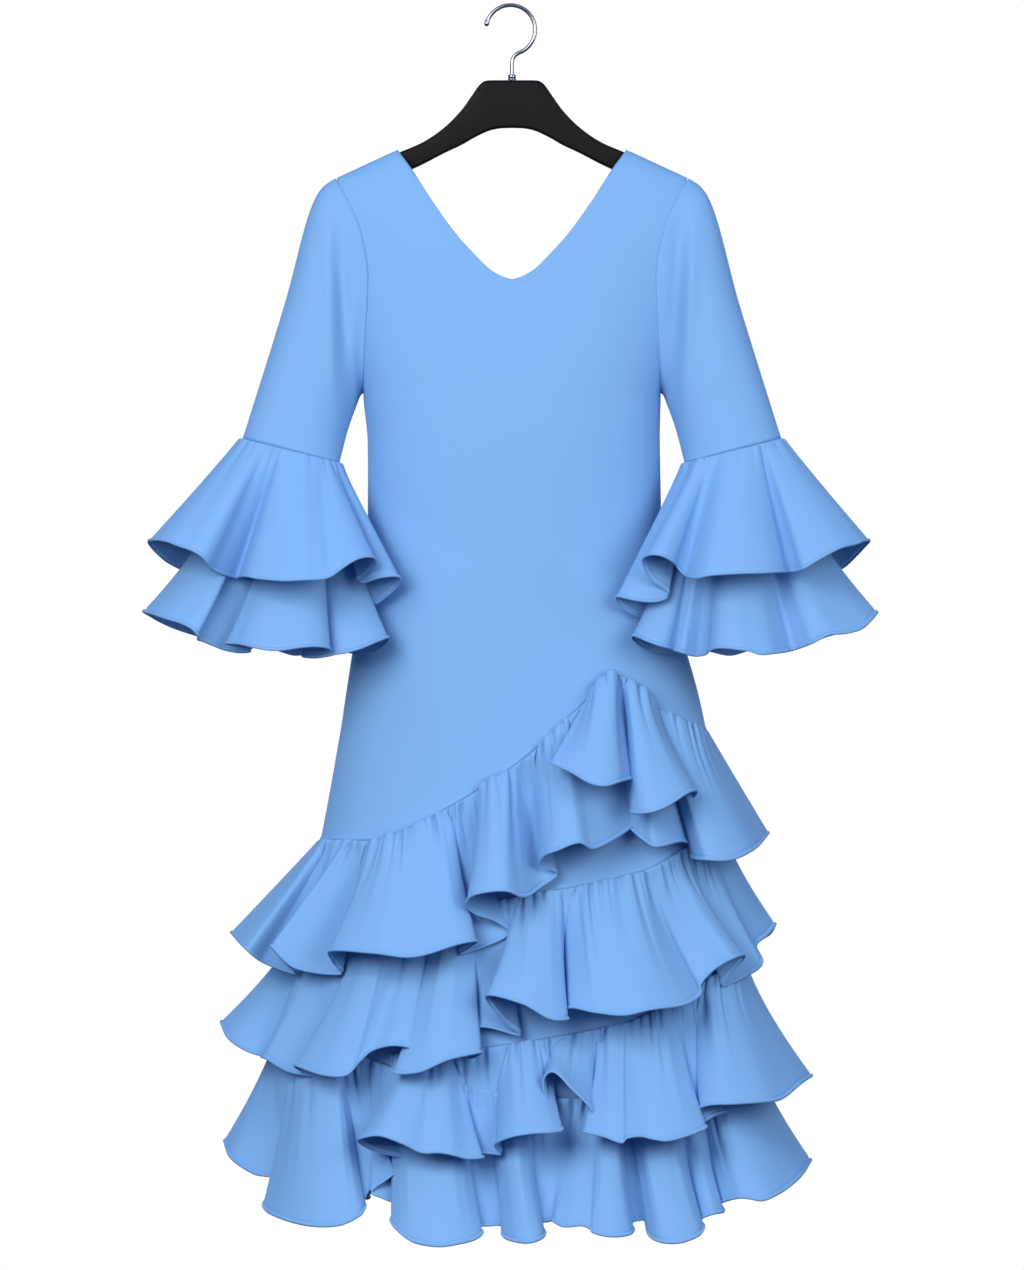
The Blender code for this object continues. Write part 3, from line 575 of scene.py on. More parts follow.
def rolled_hem(left):
    """The rolled hem's round cord and the line of stitches above it, at this distance from the edge."""
    cord = ROLL_HEIGHT * np.sin(math.pi * np.clip(left / ROLL, 0, 1)) ** 0.6
    line = -HEM_STITCH_DEPTH * np.exp(-(((left - ROLL - HEM_STITCH_IN) / HEM_STITCH_WIDTH) ** 2))
    return np.where(left < ROLL, cord, line)


def outward(points, columns, rows):
    """Unit normals of a grid of points, all on the same side of the cloth."""
    grid = points.reshape(rows + 1, columns + 1, 3)
    across = np.gradient(grid, axis=1)
    down = np.gradient(grid, axis=0)
    normal = np.cross(across, down)
    normal /= np.maximum(np.linalg.norm(normal, axis=2, keepdims=True), 1e-9)
    return normal.reshape(-1, 3)


def flounce_rows(v, length):
    """Heights of the rows: close together at the gathers and again over the rolled hem."""
    knots = (0, 0.1, 0.35, 0.72, 1)
    reach = (0 * length, 5 + 0 * length, 0.3 * length, length - 2 * ROLL, length)
    level = np.zeros_like(v)
    for i, (low, high) in enumerate(zip(knots, knots[1:])):
        part = np.clip((v - low) / (high - low), 0, 1)
        level += part * (reach[i + 1] - reach[i])
    return level / length


def flute_bow(depth, reach):
    """How late each column leaves the dress: crests swing out at once, and valleys stay in longer."""
    return np.clip(1.15 - depth / reach, 0.75, 1.9)


def add_flounce(name, side, folds, seam, nodes, columns, flare, out, at_sides, seed):
    """A gathered flounce: straight flutes from its seam to a hem whose folds the table gives."""
    rows = np.array(folds, float)
    rows[:, 3] = STAND_MIDDLE + STAND_SWING * (rows[:, 3] - STAND_MIDDLE)
    edge, _, lean, _ = section(curve(rows[:, 0], *np.array(seam, float).T))
    rows[:, 0] = turn_at((rows[:, 0] - lean) / edge)
    if at_sides[0]:
        rows[0, 0] = -1
    if at_sides[1]:
        rows[-1, 0] = 1
    s = share_at(rows[:, 0])
    top_z = on_seam(seam, s)
    edge, depth, lean, _ = section(top_z)
    hem_y = np.array([offset_point(*row) for row in zip(rows[:, 1], rows[:, 3], edge, depth, lean)])
    if at_sides[0]:
        hem_y[0] = OFF_MIDDLE
    if at_sides[1]:
        hem_y[-1] = OFF_MIDDLE
    control = np.stack([rows[:, 0] * HALF_ROUND, rows[:, 1], side * hem_y, rows[:, 2]], -1)
    turn, hem = smooth_line(control, columns + 1)
    bow = flute_bow(np.interp(turn, control[:, 0], rows[:, 3]) - STAND_MIDDLE, FLUTE_REACH)
    s = share_at(turn / HALF_ROUND)
    top_z = on_seam(seam, s)
    top = body(s, top_z, side, out)
    length = np.linalg.norm(hem - top, axis=1)
    along = np.concatenate([[0], np.cumsum(np.linalg.norm(np.diff(top, axis=0), axis=1))])
    shape, u, v = grid_of(columns, FLOUNCE_ROWS)
    i = np.rint(u * columns).astype(int)
    level = flounce_rows(v, length[i])
    share = np.stack([level**flare, level ** (flare * bow[i]), level], -1)
    points = clear_of_body(top[i] + (hem[i] - top[i]) * share, out)
    order = np.lexsort((u, v))
    normal = np.empty_like(points)
    normal[order] = outward(points[order], columns, FLOUNCE_ROWS)
    top_row = v < 0.5 / FLOUNCE_ROWS
    if side * np.sum(normal[top_row, 1]) < 0:
        normal = -normal
    fade = np.clip((1 - np.abs(s[i])) / 0.06, 0.1, 1)
    puff = gathers(along[i], level * length[i], seed) * fade + rolled_hem((1 - level) * length[i])
    points = points + normal * puff[:, None]
    points[:, 1] = side * np.maximum(side * points[:, 1], OFF_MIDDLE)
    add_cloth(name, shape, points, blue_crepe, nodes)


# Each row of a tier: x on its seam, x and z of its hem, and how far the hem stands off the dress.
TIER_1_LEFT = (
    (-216, -324, -1065, 108),
    (-212, -306, -1082, 96),
    (-208, -286, -1098, 78),
    (-200, -249, -1111, 56),
    (-190, -262, -1096, 70),
    (-185, -277, -1079, 82),
    (-178, -249, -1104, 70),
    (-165, -196, -1111, 48),
    (-158, -205, -1097, 60),
    (-150, -208, -1084, 76),
    (-128, -157, -1086, 86),
    (-108, -112, -1090, 82),
    (-84, -59, -1075, 74),
    (-75, -40, -1073, 62),
    (-68, -60, -1088, 46),
    (-52, -14, -1072, 38),
    (-47, -3, -1062, 36),
    (-40, -20, -1049, 44),
    (-34, -44, -1040, 56),
    (-30, -52, -1030, 66),
    (-27, -46, -1021, 76),
    (-21, -28, -1016, 82),
    (-12, -6, -1015, 82),
    (0, 14, -1022, 68),
    (8, 35, -1010, 44),
    (20, 52, -996, 40),
    (26, 33, -985, 52),
    (30, 37, -975, 64),
    (42, 51, -969, 74),
    (58, 76, -960, 76),
    (72, 93, -967, 68),
    (92, 124, -952, 48),
    (108, 147, -935, 40),
)
TIER_1_RIGHT = (
    (116, 130, -940, 38),
    (124, 151, -958, 58),
    (134, 165, -965, 70),
    (146, 194, -959, 58),
    (154, 206, -966, 38),
    (158, 206, -977, 46),
    (168, 222, -980, 76),
    (192, 251, -980, 84),
    (208, 278, -968, 80),
    (224, 296, -951, 73),
)
TIER_1_PEAK = (
    (92, 43, -869, 60),
    (98, 66, -879, 76),
    (104, 89, -892, 88),
    (109, 107, -895, 90),
    (113, 124, -890, 82),
    (118, 139, -888, 60),
    (122, 148, -898, 48),
    (126, 144, -911, 54),
    (129, 136, -925, 72),
    (133, 153, -926, 88),
    (139, 174, -920, 90),
    (147, 202, -903, 80),
    (153, 212, -902, 66),
    (158, 204, -915, 50),
)
TIER_2_FRONT = (
    (-256, -336, -1168, 80),
    (-252, -326, -1186, 84),
    (-246, -304, -1200, 73),
    (-236, -282, -1207, 58),
    (-226, -288, -1207, 64),
    (-215, -283, -1208, 66),
    (-206, -258, -1222, 60),
    (-200, -234, -1227, 54),
    (-188, -215, -1228, 46),
    (-174, -240, -1222, 58),
    (-165, -249, -1215, 72),
    (-155, -216, -1225, 84),
    (-142, -189, -1225, 84),
    (-130, -174, -1210, 74),
    (-120, -159, -1197, 66),
    (-106, -136, -1191, 68),
    (-94, -114, -1195, 62),
    (-90, -107, -1206, 48),
    (-84, -136, -1222, 70),
    (-76, -106, -1221, 80),
    (-62, -73, -1207, 78),
    (-46, -35, -1199, 64),
    (-38, -50, -1205, 46),
    (-20, -40, -1171, 46),
    (-8, 10, -1180, 46),
    (0, -10, -1163, 54),
    (8, -30, -1134, 68),
    (22, 12, -1143, 82),
    (38, 43, -1160, 84),
    (52, 64, -1161, 74),
    (60, 58, -1156, 52),
    (66, 67, -1148, 66),
    (80, 95, -1153, 82),
    (100, 128, -1156, 88),
    (120, 157, -1150, 88),
    (142, 196, -1145, 78),
    (154, 216, -1134, 62),
    (160, 216, -1123, 52),
    (170, 231, -1106, 54),
    (184, 255, -1092, 66),
    (194, 267, -1092, 58),
    (200, 240, -1125, 46),
    (212, 275, -1111, 50),
    (220, 288, -1099, 58),
    (226, 281, -1080, 48),
    (230, 296, -1066, 58),
    (234, 304, -1056, 69),
)
TIER_3_FRONT = (
    (-137, -108, -1322, 48),
    (-135, -124, -1319, 48),
    (-131, -160, -1310, 56),
    (-127, -176, -1299, 70),
    (-121, -164, -1294, 80),
    (-114, -149, -1293, 84),
    (-102, -124, -1302, 84),
    (-92, -103, -1312, 80),
    (-84, -83, -1312, 80),
    (-76, -66, -1315, 78),
    (-70, -51, -1319, 72),
    (-64, -32, -1318, 62),
    (-60, -44, -1317, 52),
    (-48, -40, -1314, 48),
    (-34, -24, -1314, 48),
    (-18, -12, -1315, 50),
    (-10, -19, -1305, 58),
    (-4, -13, -1299, 68),
    (4, 4, -1293, 76),
    (16, 25, -1290, 78),
    (28, 46, -1289, 74),
    (36, 58, -1286, 64),
    (42, 46, -1270, 52),
    (50, 36, -1232, 48),
    (58, 47, -1221, 54),
    (72, 68, -1240, 60),
    (88, 90, -1263, 58),
    (98, 98, -1282, 50),
    (102, 81, -1288, 66),
    (112, 104, -1294, 78),
    (124, 125, -1301, 84),
    (128, 131, -1296, 80),
    (138, 147, -1294, 78),
    (150, 160, -1297, 80),
    (160, 177, -1299, 84),
    (172, 202, -1293, 82),
    (182, 222, -1285, 74),
    (188, 218, -1280, 62),
    (194, 234, -1271, 58),
    (198, 245, -1268, 54),
    (202, 228, -1267, 50),
    (208, 213, -1264, 58),
    (216, 226, -1259, 72),
    (226, 251, -1258, 84),
    (242, 290, -1256, 88),
    (252, 309, -1253, 84),
    (260, 332, -1237, 74),
    (268, 346, -1230, 70),
)
TIER_4_FRONT = (
    (-272, -332, -1305, 72),
    (-268, -323, -1323, 66),
    (-262, -296, -1340, 56),
    (-254, -268, -1346, 48),
    (-249, -278, -1362, 54),
    (-246, -285, -1377, 64),
    (-240, -266, -1388, 78),
    (-224, -231, -1396, 88),
    (-208, -197, -1395, 88),
    (-198, -174, -1385, 78),
    (-194, -167, -1376, 66),
    (-190, -168, -1366, 54),
    (-182, -156, -1350, 46),
    (-172, -134, -1337, 46),
    (-164, -138, -1340, 48),
    (-156, -161, -1358, 52),
    (-150, -148, -1365, 50),
    (-143, -132, -1373, 48),
    (-136, -138, -1391, 64),
    (-130, -128, -1403, 76),
    (-120, -113, -1413, 84),
    (-106, -96, -1417, 88),
    (-92, -79, -1418, 88),
    (-78, -60, -1415, 84),
    (-66, -43, -1411, 76),
    (-60, -33, -1404, 64),
    (-56, -38, -1397, 52),
    (-44, -26, -1396, 48),
    (-30, -12, -1396, 50),
    (-18, -10, -1408, 62),
    (-11, 4, -1413, 76),
    (0, 20, -1414, 82),
    (8, 33, -1410, 76),
    (14, 38, -1405, 64),
    (18, 34, -1393, 52),
    (32, 42, -1391, 48),
    (56, 45, -1390, 50),
    (72, 47, -1391, 58),
    (78, 57, -1396, 66),
    (84, 67, -1396, 70),
    (90, 80, -1395, 70),
    (96, 89, -1399, 74),
    (100, 91, -1402, 78),
    (106, 104, -1406, 84),
    (112, 119, -1407, 86),
    (118, 134, -1405, 80),
    (122, 139, -1401, 68),
    (125, 136, -1393, 54),
    (130, 146, -1390, 48),
    (134, 152, -1391, 48),
    (137, 156, -1407, 64),
    (142, 166, -1413, 78),
    (150, 179, -1415, 86),
    (160, 194, -1414, 88),
    (172, 211, -1408, 84),
    (180, 218, -1402, 76),
    (184, 219, -1396, 66),
    (188, 214, -1391, 58),
    (194, 219, -1387, 64),
    (202, 230, -1383, 70),
    (208, 242, -1381, 64),
    (210, 239, -1375, 52),
    (214, 238, -1372, 52),
    (222, 251, -1367, 66),
    (230, 262, -1365, 76),
    (238, 272, -1366, 82),
    (246, 285, -1368, 88),
    (254, 298, -1364, 88),
    (262, 315, -1355, 82),
    (270, 332, -1342, 72),
    (284, 345, -1327, 62),
)
LEFT_SIDE, RIGHT_SIDE, NO_SIDE, BOTH_SIDES = (True, False), (False, True), (False, False), (True, True)
for name, folds, seam, node, columns, flare, out, sides, seed in (
    ("tier_1_left", TIER_1_LEFT, HIP_SEAM, "flounce_1_front_left", 500, 1.0, OFF_CLOTH, LEFT_SIDE, 0.4),
    ("tier_1_right", TIER_1_RIGHT, HIP_SEAM, "flounce_1_front_right", 180, 1.0, OFF_CLOTH, RIGHT_SIDE, 1.9),
    ("tier_1_peak", TIER_1_PEAK, HIP_SEAM, "flounce_1_crossover", 200, 1.0, OFF_FLOUNCE, NO_SIDE, 2.7),
    ("tier_2_front", TIER_2_FRONT, SEAM_2, "flounce_2_front", 620, TIER_FLARE, OFF_CLOTH, BOTH_SIDES, 3.1),
    ("tier_3_front", TIER_3_FRONT, SEAM_3, "flounce_3_front", 540, TIER_FLARE, OFF_CLOTH, RIGHT_SIDE, 4.6),
    ("tier_4_front", TIER_4_FRONT, SEAM_4, "flounce_4_front", 640, TIER_FLARE, OFF_CLOTH, BOTH_SIDES, 5.2),
):
    add_flounce(name, FRONT, folds, seam, (node,), columns, flare, out, sides, seed)


BACK_FLUTE = (
    (0.0, 48, 0),
    (0.1, 60, -0.16),
    (0.2, 72, -0.1),
    (0.5, 84, 0),
    (0.8, 74, 0.12),
    (0.92, 60, 0.14),
)
SIDE_STAND = 66


def plain_folds(first, last, count, seam_ends, dip):
    """Flutes of a flounce behind, as uneven as those in front, between two hem ends as (x, z)."""
    sizes = 1 + 0.22 * np.sin(np.arange(count) * 2.4)
    ends = np.concatenate([[0], np.cumsum(sizes)]) / sizes.sum()
    rows = []
    for i in range(count):
        width = ends[i + 1] - ends[i]
        for share, stand, over in BACK_FLUTE:
            at_seam = at = ends[i] + width * share
            if 0 < i < count - 1:
                at = ends[i] + width * np.clip(share + over, -0.2, 1.2)
            x = first[0] + (last[0] - first[0]) * at
            seam_x = seam_ends[0] + (seam_ends[1] - seam_ends[0]) * at_seam
            bulge = 7 * math.sin(math.pi * share) + 5 * math.sin(2.1 * i)
            low = dip * math.sin(math.pi * np.clip(at, 0, 1)) ** 0.7
            z = first[1] + (last[1] - first[1]) * at - low - bulge
            rows.append((seam_x, x, z, stand + 5 * math.sin(1.9 * i)))
    rows.append((seam_ends[1], last[0], last[1], SIDE_STAND))
    rows[0] = (seam_ends[0], first[0], first[1], SIDE_STAND)
    return rows


TIER_3_INSET = 20
for name, shown_left, shown_right, seam, sag, count, dip, columns, flare, seed in (
    ("tier_1_back", TIER_1_LEFT, TIER_1_RIGHT, HIP_SEAM, HIP_SAG, 7, 42, 290, 1.0, 0.9),
    ("tier_2_back", TIER_2_FRONT, TIER_2_FRONT, SEAM_2, 10, 8, 46, 310, TIER_FLARE, 1.7),
    ("tier_3_back", TIER_3_FRONT, TIER_3_FRONT, SEAM_3, 15, 6, 36, 270, TIER_FLARE, 2.9),
    ("tier_4_back", TIER_4_FRONT, TIER_4_FRONT, SEAM_4, SEAM_4_SAG, 9, 78, 330, TIER_FLARE, 4.1),
):
    goes_round = name != "tier_3_back"
    start = shown_left[0] if goes_round else shown_left[3]
    seam_start = seam[0][0] if goes_round else shown_left[0][0] - TIER_3_INSET
    folds = plain_folds(start[1:3], shown_right[-1][1:3], count, (seam_start, seam[-1][0]), dip)
    behind = back_seam(seam, sag)
    node = name.replace("tier", "flounce")
    add_flounce(name, BACK, folds, behind, (node,), columns, flare, OFF_CLOTH, (goes_round, True), seed)


# Each sleeve is set into its armhole and cut slim, with one seam along the inner edge. It hangs
# nearly flat beside the body, and the crown's fullness falls in a long soft fold.
SLEEVE = (
    (0, 203, -197, 171, -443, 42, 0),
    (0.06, 216, -205, 174.5, -447, 43, 1),
    (0.16, 228, -223, 178, -456, 45, 4),
    (0.5, 260, -337, 188, -485, 45, 16),
    (1, 309, -496, 198, -524, 36, 34),
)
SLEEVE_COLUMNS = ("along", "outer_x", "outer_z", "inner_x", "inner_z", "depth", "forward")
LENGTH_AT_ARMHOLE, LENGTH_AT_CUFF = 240, 300
INSET, SEAM_ROLL = 0.4, 0.8
SLEEVE_FOLDS_LEFT = (
    (-201, -212, -185, -480, 10, -9.5),
    (-214, -206, -203, -470, 8, 4.0),
    (-230, -215, -240, -470, 17, 1.5),
    (-182, -330, -196, -500, 9, 2.0),
    (-262, -330, -230, -480, 24, -1.2),
)
SLEEVE_FOLDS_RIGHT = (
    (198, -212, 178, -480, 10, -11.0),
    (211, -206, 195, -480, 8, 4.0),
    (230, -230, 243, -450, 18, 1.5),
    (184, -360, 196, -500, 9, 2.2),
    (262, -330, 236, -500, 26, -1.4),
)


def sleeve_edges(v, side):
    """Outer and inner edge, half depth and forward swing of the sleeve at each share along it."""
    sleeve = table(SLEEVE, SLEEVE_COLUMNS)
    got = {key: curve(v, sleeve["along"], sleeve[key]) for key in SLEEVE_COLUMNS[1:]}
    outer = np.stack([side * got["outer_x"], got["outer_z"]], -1)
    inner = np.stack([side * got["inner_x"], got["inner_z"]], -1)
    return outer, inner, got["depth"], got["forward"]


for name, side, folds, node in (
    ("sleeve_left_tube", -1, SLEEVE_FOLDS_LEFT, "sleeve_left"),
    ("sleeve_right_tube", 1, SLEEVE_FOLDS_RIGHT, "sleeve_right"),
):
    shape, u, v = grid_of(140, 70)
    tau = 2 * math.pi * u
    outer, inner, depth, forward = sleeve_edges(v, side)
    flat = (outer + inner) / 2 + (outer - inner) / 2 * np.cos(tau)[:, None]
    first_outer, first_inner, _, _ = sleeve_edges(np.zeros_like(v), side)
    chord = (first_outer + first_inner) / 2 + (first_outer - first_inner) / 2 * np.cos(tau)[:, None]
    seam_x = side * (section(chord[:, 1])[0] - INSET)
    x = flat[:, 0] + (seam_x - chord[:, 0]) * (1 - v) ** 3
    front = np.clip(np.sin(tau), 0, 1)
    behind = np.clip(-np.sin(tau), 0, 1)
    fold = crease(x, flat[:, 1], folds) * np.where(front > 0, front, 0.8 * behind)
    from_armhole, from_cuff = v * LENGTH_AT_ARMHOLE, (1 - v) * LENGTH_AT_CUFF
    roll = SEAM_ROLL * np.exp(-(((from_armhole - 3) / 2.2) ** 2))
    roll = roll + SEAM_ROLL * np.exp(-(((from_cuff - 2.5) / 1.6) ** 2))
    armhole = np.sign(np.sin(tau)) * section(chord[:, 1])[3]
    y = -np.sin(tau) * (depth + fold + roll) - forward
    y = y + (np.sin(tau) * ARMHOLE_DEPTH - armhole) * np.clip(1 - v / 0.12, 0, 1) ** 2
    points = np.stack([x + side * np.cos(tau) * roll, y, flat[:, 1]], -1)
    add_cloth(name, shape, points, blue_crepe, (node,), closed=True)


# Two curved ruffles are gathered together into each cuff seam. The upper one swings wide, and the
# lower one comes out from under it; both have the same rolled hem as the flounces.
CUFF_SWING, CUFF_RING, CUFF_REACH = 22, 61, 120
CUFF_COLUMNS, CUFF_ROWS, CUFF_GAP, CUFF_GATHER = 320, 30, 0.1, 0.35
# Each row of a ruffle: degrees round the cuff from its outer edge, then the hem's x, reach forward and z.
CUFF_UPPER_LEFT = (
    (0, -418, 0, -616),
    (14, -409, 40, -614),
    (26, -395, 62, -616),
    (36, -382, 74, -621),
    (44, -367, 85, -626),
    (52, -355, 88, -633),
    (57, -348, 83, -641),
    (61, -345, 74, -647),
    (66, -340, 63, -650),
    (72, -327, 50, -655),
    (76, -315, 42, -658),
    (79, -313, 60, -657),
    (82, -305, 90, -656),
    (88, -287, 108, -659),
    (98, -259, 122, -661),
    (106, -238, 126, -660),
    (116, -216, 120, -659),
    (122, -206, 114, -656),
    (129, -191, 108, -645),
    (133, -180, 104, -638),
    (137, -168, 96, -634),
    (141, -157, 84, -635),
    (144, -155, 74, -641),
    (147, -161, 62, -649),
    (149, -170, 52, -657),
    (151, -177, 48, -662),
    (154, -168, 53, -663),
    (158, -157, 60, -659),
    (163, -142, 64, -656),
    (168, -131, 60, -656),
    (173, -127, 50, -659),
    (178, -131, 40, -667),
    (184, -142, 32, -677),
    (190, -157, 20, -687),
    (200, -180, 0, -684),
    (212, -196, -30, -674),
    (224, -204, -64, -668),
    (236, -222, -76, -674),
    (250, -246, -94, -680),
    (262, -270, -100, -674),
    (274, -284, -84, -668),
    (286, -304, -92, -670),
    (300, -332, -96, -668),
    (314, -356, -80, -660),
    (328, -380, -62, -648),
    (340, -398, -40, -638),
    (350, -412, -20, -625),
)
CUFF_LOWER_LEFT = (
    (0, -424, 0, -696),
    (12, -412, 36, -699),
    (24, -397, 58, -704),
    (36, -380, 72, -709),
    (46, -366, 82, -716),
    (52, -360, 82, -723),
    (55, -360, 70, -728),
    (59, -354, 60, -730),
    (64, -342, 52, -735),
    (70, -329, 46, -740),
    (75, -312, 40, -743),
    (78, -299, 38, -742),
    (80, -304, 50, -738),
    (82, -328, 62, -733),
    (84, -316, 80, -733),
    (88, -308, 90, -734),
    (92, -295, 100, -737),
    (98, -278, 106, -740),
    (106, -261, 108, -740),
    (114, -241, 106, -737),
    (119, -227, 102, -736),
    (124, -214, 94, -737),
    (128, -207, 82, -740),
    (131, -214, 66, -743),
    (134, -227, 54, -745),
    (137, -240, 46, -746),
    (140, -239, 50, -748),
    (144, -225, 60, -749),
    (148, -210, 68, -747),
    (152, -202, 72, -745),
    (157, -189, 76, -743),
    (164, -172, 74, -738),
    (170, -155, 66, -731),
    (178, -141, 48, -726),
    (184, -146, 34, -734),
    (190, -160, 18, -742),
    (200, -180, 0, -744),
    (212, -196, -26, -740),
    (226, -206, -54, -736),
    (240, -228, -68, -742),
    (254, -250, -84, -746),
    (266, -272, -88, -740),
    (278, -288, -74, -736),
    (292, -312, -82, -738),
    (306, -340, -84, -732),
    (320, -362, -68, -724),
    (334, -386, -48, -716),
    (346, -404, -28, -708),
    (354, -416, -14, -701),
)
CUFF_UPPER_RIGHT = (
    (0, 411, 0, -615),
    (12, 404, 34, -615),
    (22, 394, 52, -619),
    (32, 375, 70, -624),
    (42, 349, 86, -638),
    (48, 334, 88, -647),
    (53, 326, 74, -650),
    (57, 316, 64, -651),
    (60, 310, 80, -651),
    (68, 290, 100, -652),
    (80, 255, 112, -653),
    (92, 225, 112, -655),
    (100, 211, 104, -658),
    (106, 202, 88, -657),
    (110, 196, 74, -654),
    (114, 188, 72, -645),
    (120, 184, 84, -640),
    (126, 172, 92, -633),
    (131, 160, 90, -631),
    (135, 151, 80, -634),
    (139, 149, 70, -640),
    (142, 156, 62, -656),
    (145, 170, 54, -668),
    (148, 178, 50, -674),
    (151, 177, 52, -681),
    (155, 163, 56, -685),
    (162, 145, 58, -684),
    (169, 130, 54, -681),
    (175, 119, 46, -679),
    (180, 121, 40, -687),
    (186, 132, 32, -695),
    (192, 147, 20, -702),
    (202, 180, 0, -692),
    (214, 196, -28, -680),
    (226, 206, -60, -672),
    (238, 224, -74, -676),
    (252, 248, -92, -682),
    (264, 270, -98, -676),
    (276, 286, -84, -670),
    (288, 306, -90, -672),
    (302, 334, -94, -666),
    (316, 360, -78, -656),
    (330, 382, -60, -645),
    (342, 396, -38, -632),
    (352, 406, -18, -621),
)
CUFF_LOWER_RIGHT = (
    (0, 420, 0, -697),
    (10, 412, 30, -706),
    (20, 400, 50, -716),
    (32, 382, 66, -721),
    (42, 362, 78, -723),
    (50, 346, 80, -731),
    (55, 334, 70, -736),
    (60, 322, 60, -740),
    (64, 314, 72, -742),
    (72, 298, 92, -744),
    (78, 284, 100, -745),
    (84, 270, 102, -741),
    (88, 262, 104, -740),
    (98, 246, 102, -738),
    (104, 234, 96, -738),
    (108, 226, 84, -741),
    (111, 222, 66, -745),
    (115, 212, 56, -747),
    (120, 203, 60, -746),
    (126, 194, 66, -743),
    (132, 186, 58, -741),
    (136, 182, 54, -740),
    (142, 178, 66, -738),
    (150, 168, 72, -735),
    (160, 152, 68, -729),
    (170, 140, 56, -724),
    (178, 137, 44, -726),
    (185, 146, 30, -735),
    (192, 162, 14, -742),
    (202, 182, -4, -744),
    (214, 198, -28, -740),
    (228, 208, -54, -736),
    (242, 230, -68, -742),
    (256, 252, -84, -746),
    (268, 274, -88, -740),
    (280, 290, -74, -736),
    (294, 314, -82, -738),
    (308, 342, -84, -732),
    (322, 364, -68, -724),
    (336, 388, -48, -718),
    (348, 404, -26, -709),
    (355, 414, -12, -702),
)
for name, side, hem_table, lap, flare, clearance, seed, node in (
    ("cuff_left_upper", -1, CUFF_UPPER_LEFT, 0.5, 1.0, 11, 0.7, "cuff_ruffle_upper_left"),
    ("cuff_left_lower", -1, CUFF_LOWER_LEFT, -1.6, 1.6, 8, 1.3, "cuff_ruffle_lower_left"),
    ("cuff_right_upper", 1, CUFF_UPPER_RIGHT, 0.5, 1.0, 11, 2.2, "cuff_ruffle_upper_right"),
    ("cuff_right_lower", 1, CUFF_LOWER_RIGHT, -1.6, 1.6, 8, 3.4, "cuff_ruffle_lower_right"),
):
    outer, inner, depth, forward = (part[0] for part in sleeve_edges(np.array([1.0]), side))
    middle = (outer + inner) / 2
    around, hem = smooth_line(hem_table, CUFF_COLUMNS + 1, closed=True)
    hem = np.stack([hem[:, 0], -forward - CUFF_SWING - hem[:, 1], hem[:, 2]], -1)
    hem = clear_of_body(hem, clearance)
    angle = np.radians(around)
    reach = abs(outer[0] - inner[0]) / 2 + lap
    top = np.stack(
        [
            middle[0] + side * reach * np.cos(angle),
            -forward - (depth + lap) * np.sin(angle),
            middle[1] + (outer - inner)[1] / 2 * np.cos(angle) - CUFF_GAP,
        ],
        -1,
    )
    length = np.linalg.norm(hem - top, axis=1)
    along = np.concatenate([[0], np.cumsum(np.linalg.norm(np.diff(top, axis=0), axis=1))])
    shape, u, v = grid_of(CUFF_COLUMNS, CUFF_ROWS)
    i = np.rint(u * CUFF_COLUMNS).astype(int)
    level = flounce_rows(v, length[i])
    forward_by = -hem[:, 1]
    thrice = np.concatenate([forward_by[:-1]] * 3)
    evened = np.convolve(thrice, np.ones(CUFF_RING) / CUFF_RING, "same")
    evened = evened[CUFF_COLUMNS : 2 * CUFF_COLUMNS + 1]
    bow = flute_bow(np.sin(angle) * (forward_by - evened), CUFF_REACH)
    share = np.stack([level**flare, level ** (flare * bow[i]), level], -1)
    points = top[i] + (hem[i] - top[i]) * share
    order = np.lexsort((u, v))
    normal = np.empty_like(points)
    normal[order] = outward(points[order], CUFF_COLUMNS, CUFF_ROWS)
    away = points - np.array([middle[0], -forward, 0])
    if np.sum(normal[:, :2] * away[:, :2]) < 0:
        normal = -normal
    ends_meet = np.clip(np.minimum(u, 1 - u) / 0.01, 0, 1)
    puff = CUFF_GATHER * gathers(along[i], level * length[i], seed) * ends_meet
    puff = puff + rolled_hem((1 - level) * length[i])
    points = points + normal * puff[:, None]
    add_cloth(name, shape, points, blue_crepe, (node,), closed=True)


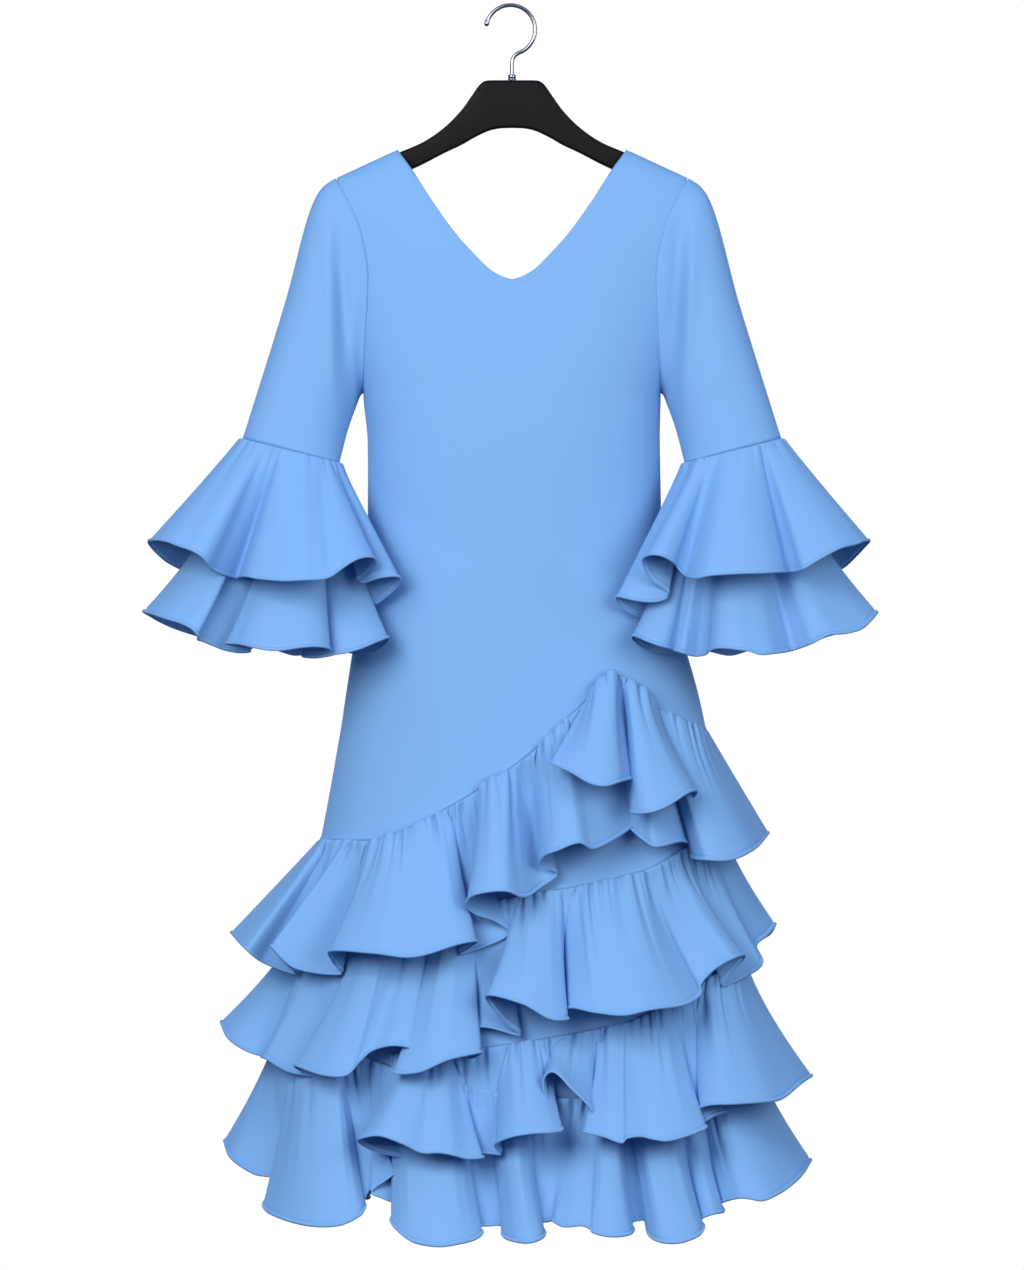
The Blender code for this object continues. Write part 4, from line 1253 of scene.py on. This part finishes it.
# The studio: a white cyclorama wraps round behind the dress, with a dim, bluish room in front. A
# large softbox stands to the left of the camera, and a weaker one on the right opens the shadows.
low, high = cad_box
world = bpy.data.worlds.new("studio")
world.use_nodes = True
tree = world.node_tree
way = add_node(tree, "ShaderNodeTexCoord").outputs["Generated"]
axes = add_node(tree, "ShaderNodeSeparateXYZ", {"Vector": way})
room = add_node(tree, "ShaderNodeMapRange", {"Value": axes.outputs["Z"], "From Min": -0.6, "From Max": 0.9})
room.inputs["To Min"].default_value = 0.08
room.inputs["To Max"].default_value = 0.62
wall = add_node(tree, "ShaderNodeMapRange", {"Value": axes.outputs["Y"], "From Min": 0.45, "From Max": 0.9})
light = add_node(
    tree, "ShaderNodeMath", {0: room.outputs["Result"], 1: wall.outputs["Result"]}, operation="MAXIMUM"
)
tree.links.new(light.outputs["Value"], tree.nodes["Background"].inputs["Strength"])
hue = add_node(
    tree,
    "ShaderNodeMix",
    {"Factor": wall.outputs["Result"], "A": linear("#B6D1FF"), "B": linear("#FFFFFF")},
    data_type="RGBA",
)
tree.links.new(hue.outputs["Result"], tree.nodes["Background"].inputs["Color"])
bpy.context.scene.world = world


def add_lamp(name, place, aim, size, power):
    """A large square softbox at place that points to aim."""
    lamp = bpy.data.lights.new(name, "AREA")
    lamp.shape = "SQUARE"
    lamp.size = size
    lamp.energy = power
    holder = bpy.data.objects.new(name, lamp)
    bpy.context.scene.collection.objects.link(holder)
    holder.location = place
    way = aim - holder.location
    holder.rotation_mode = "QUATERNION"
    holder.rotation_quaternion = way.to_track_quat("-Z", "Y")


centre = (low + high) / 2
add_lamp("key_softbox", centre + Vector((-1.9, -3.5, 1.3)), centre, 2.4, 142)
add_lamp("fill_softbox", centre + Vector((2.6, -3.2, 0.9)), centre, 2.4, 82)

# The camera looks level at the middle of the dress through a long lens.
CAMERA_AWAY, FRAME_HEIGHT = 21.0, 1.4605
FRAME_CENTRE_X, FRAME_CENTRE_Z = 0.0, -0.722
camera = bpy.data.cameras.new("camera")
camera.sensor_width = 36
camera.lens = camera.sensor_width * CAMERA_AWAY / FRAME_HEIGHT
holder = bpy.data.objects.new("camera", camera)
bpy.context.scene.collection.objects.link(holder)
holder.location = (FRAME_CENTRE_X, -CAMERA_AWAY, FRAME_CENTRE_Z)
holder.rotation_euler = (math.pi / 2, 0, 0)
bpy.context.scene.camera = holder
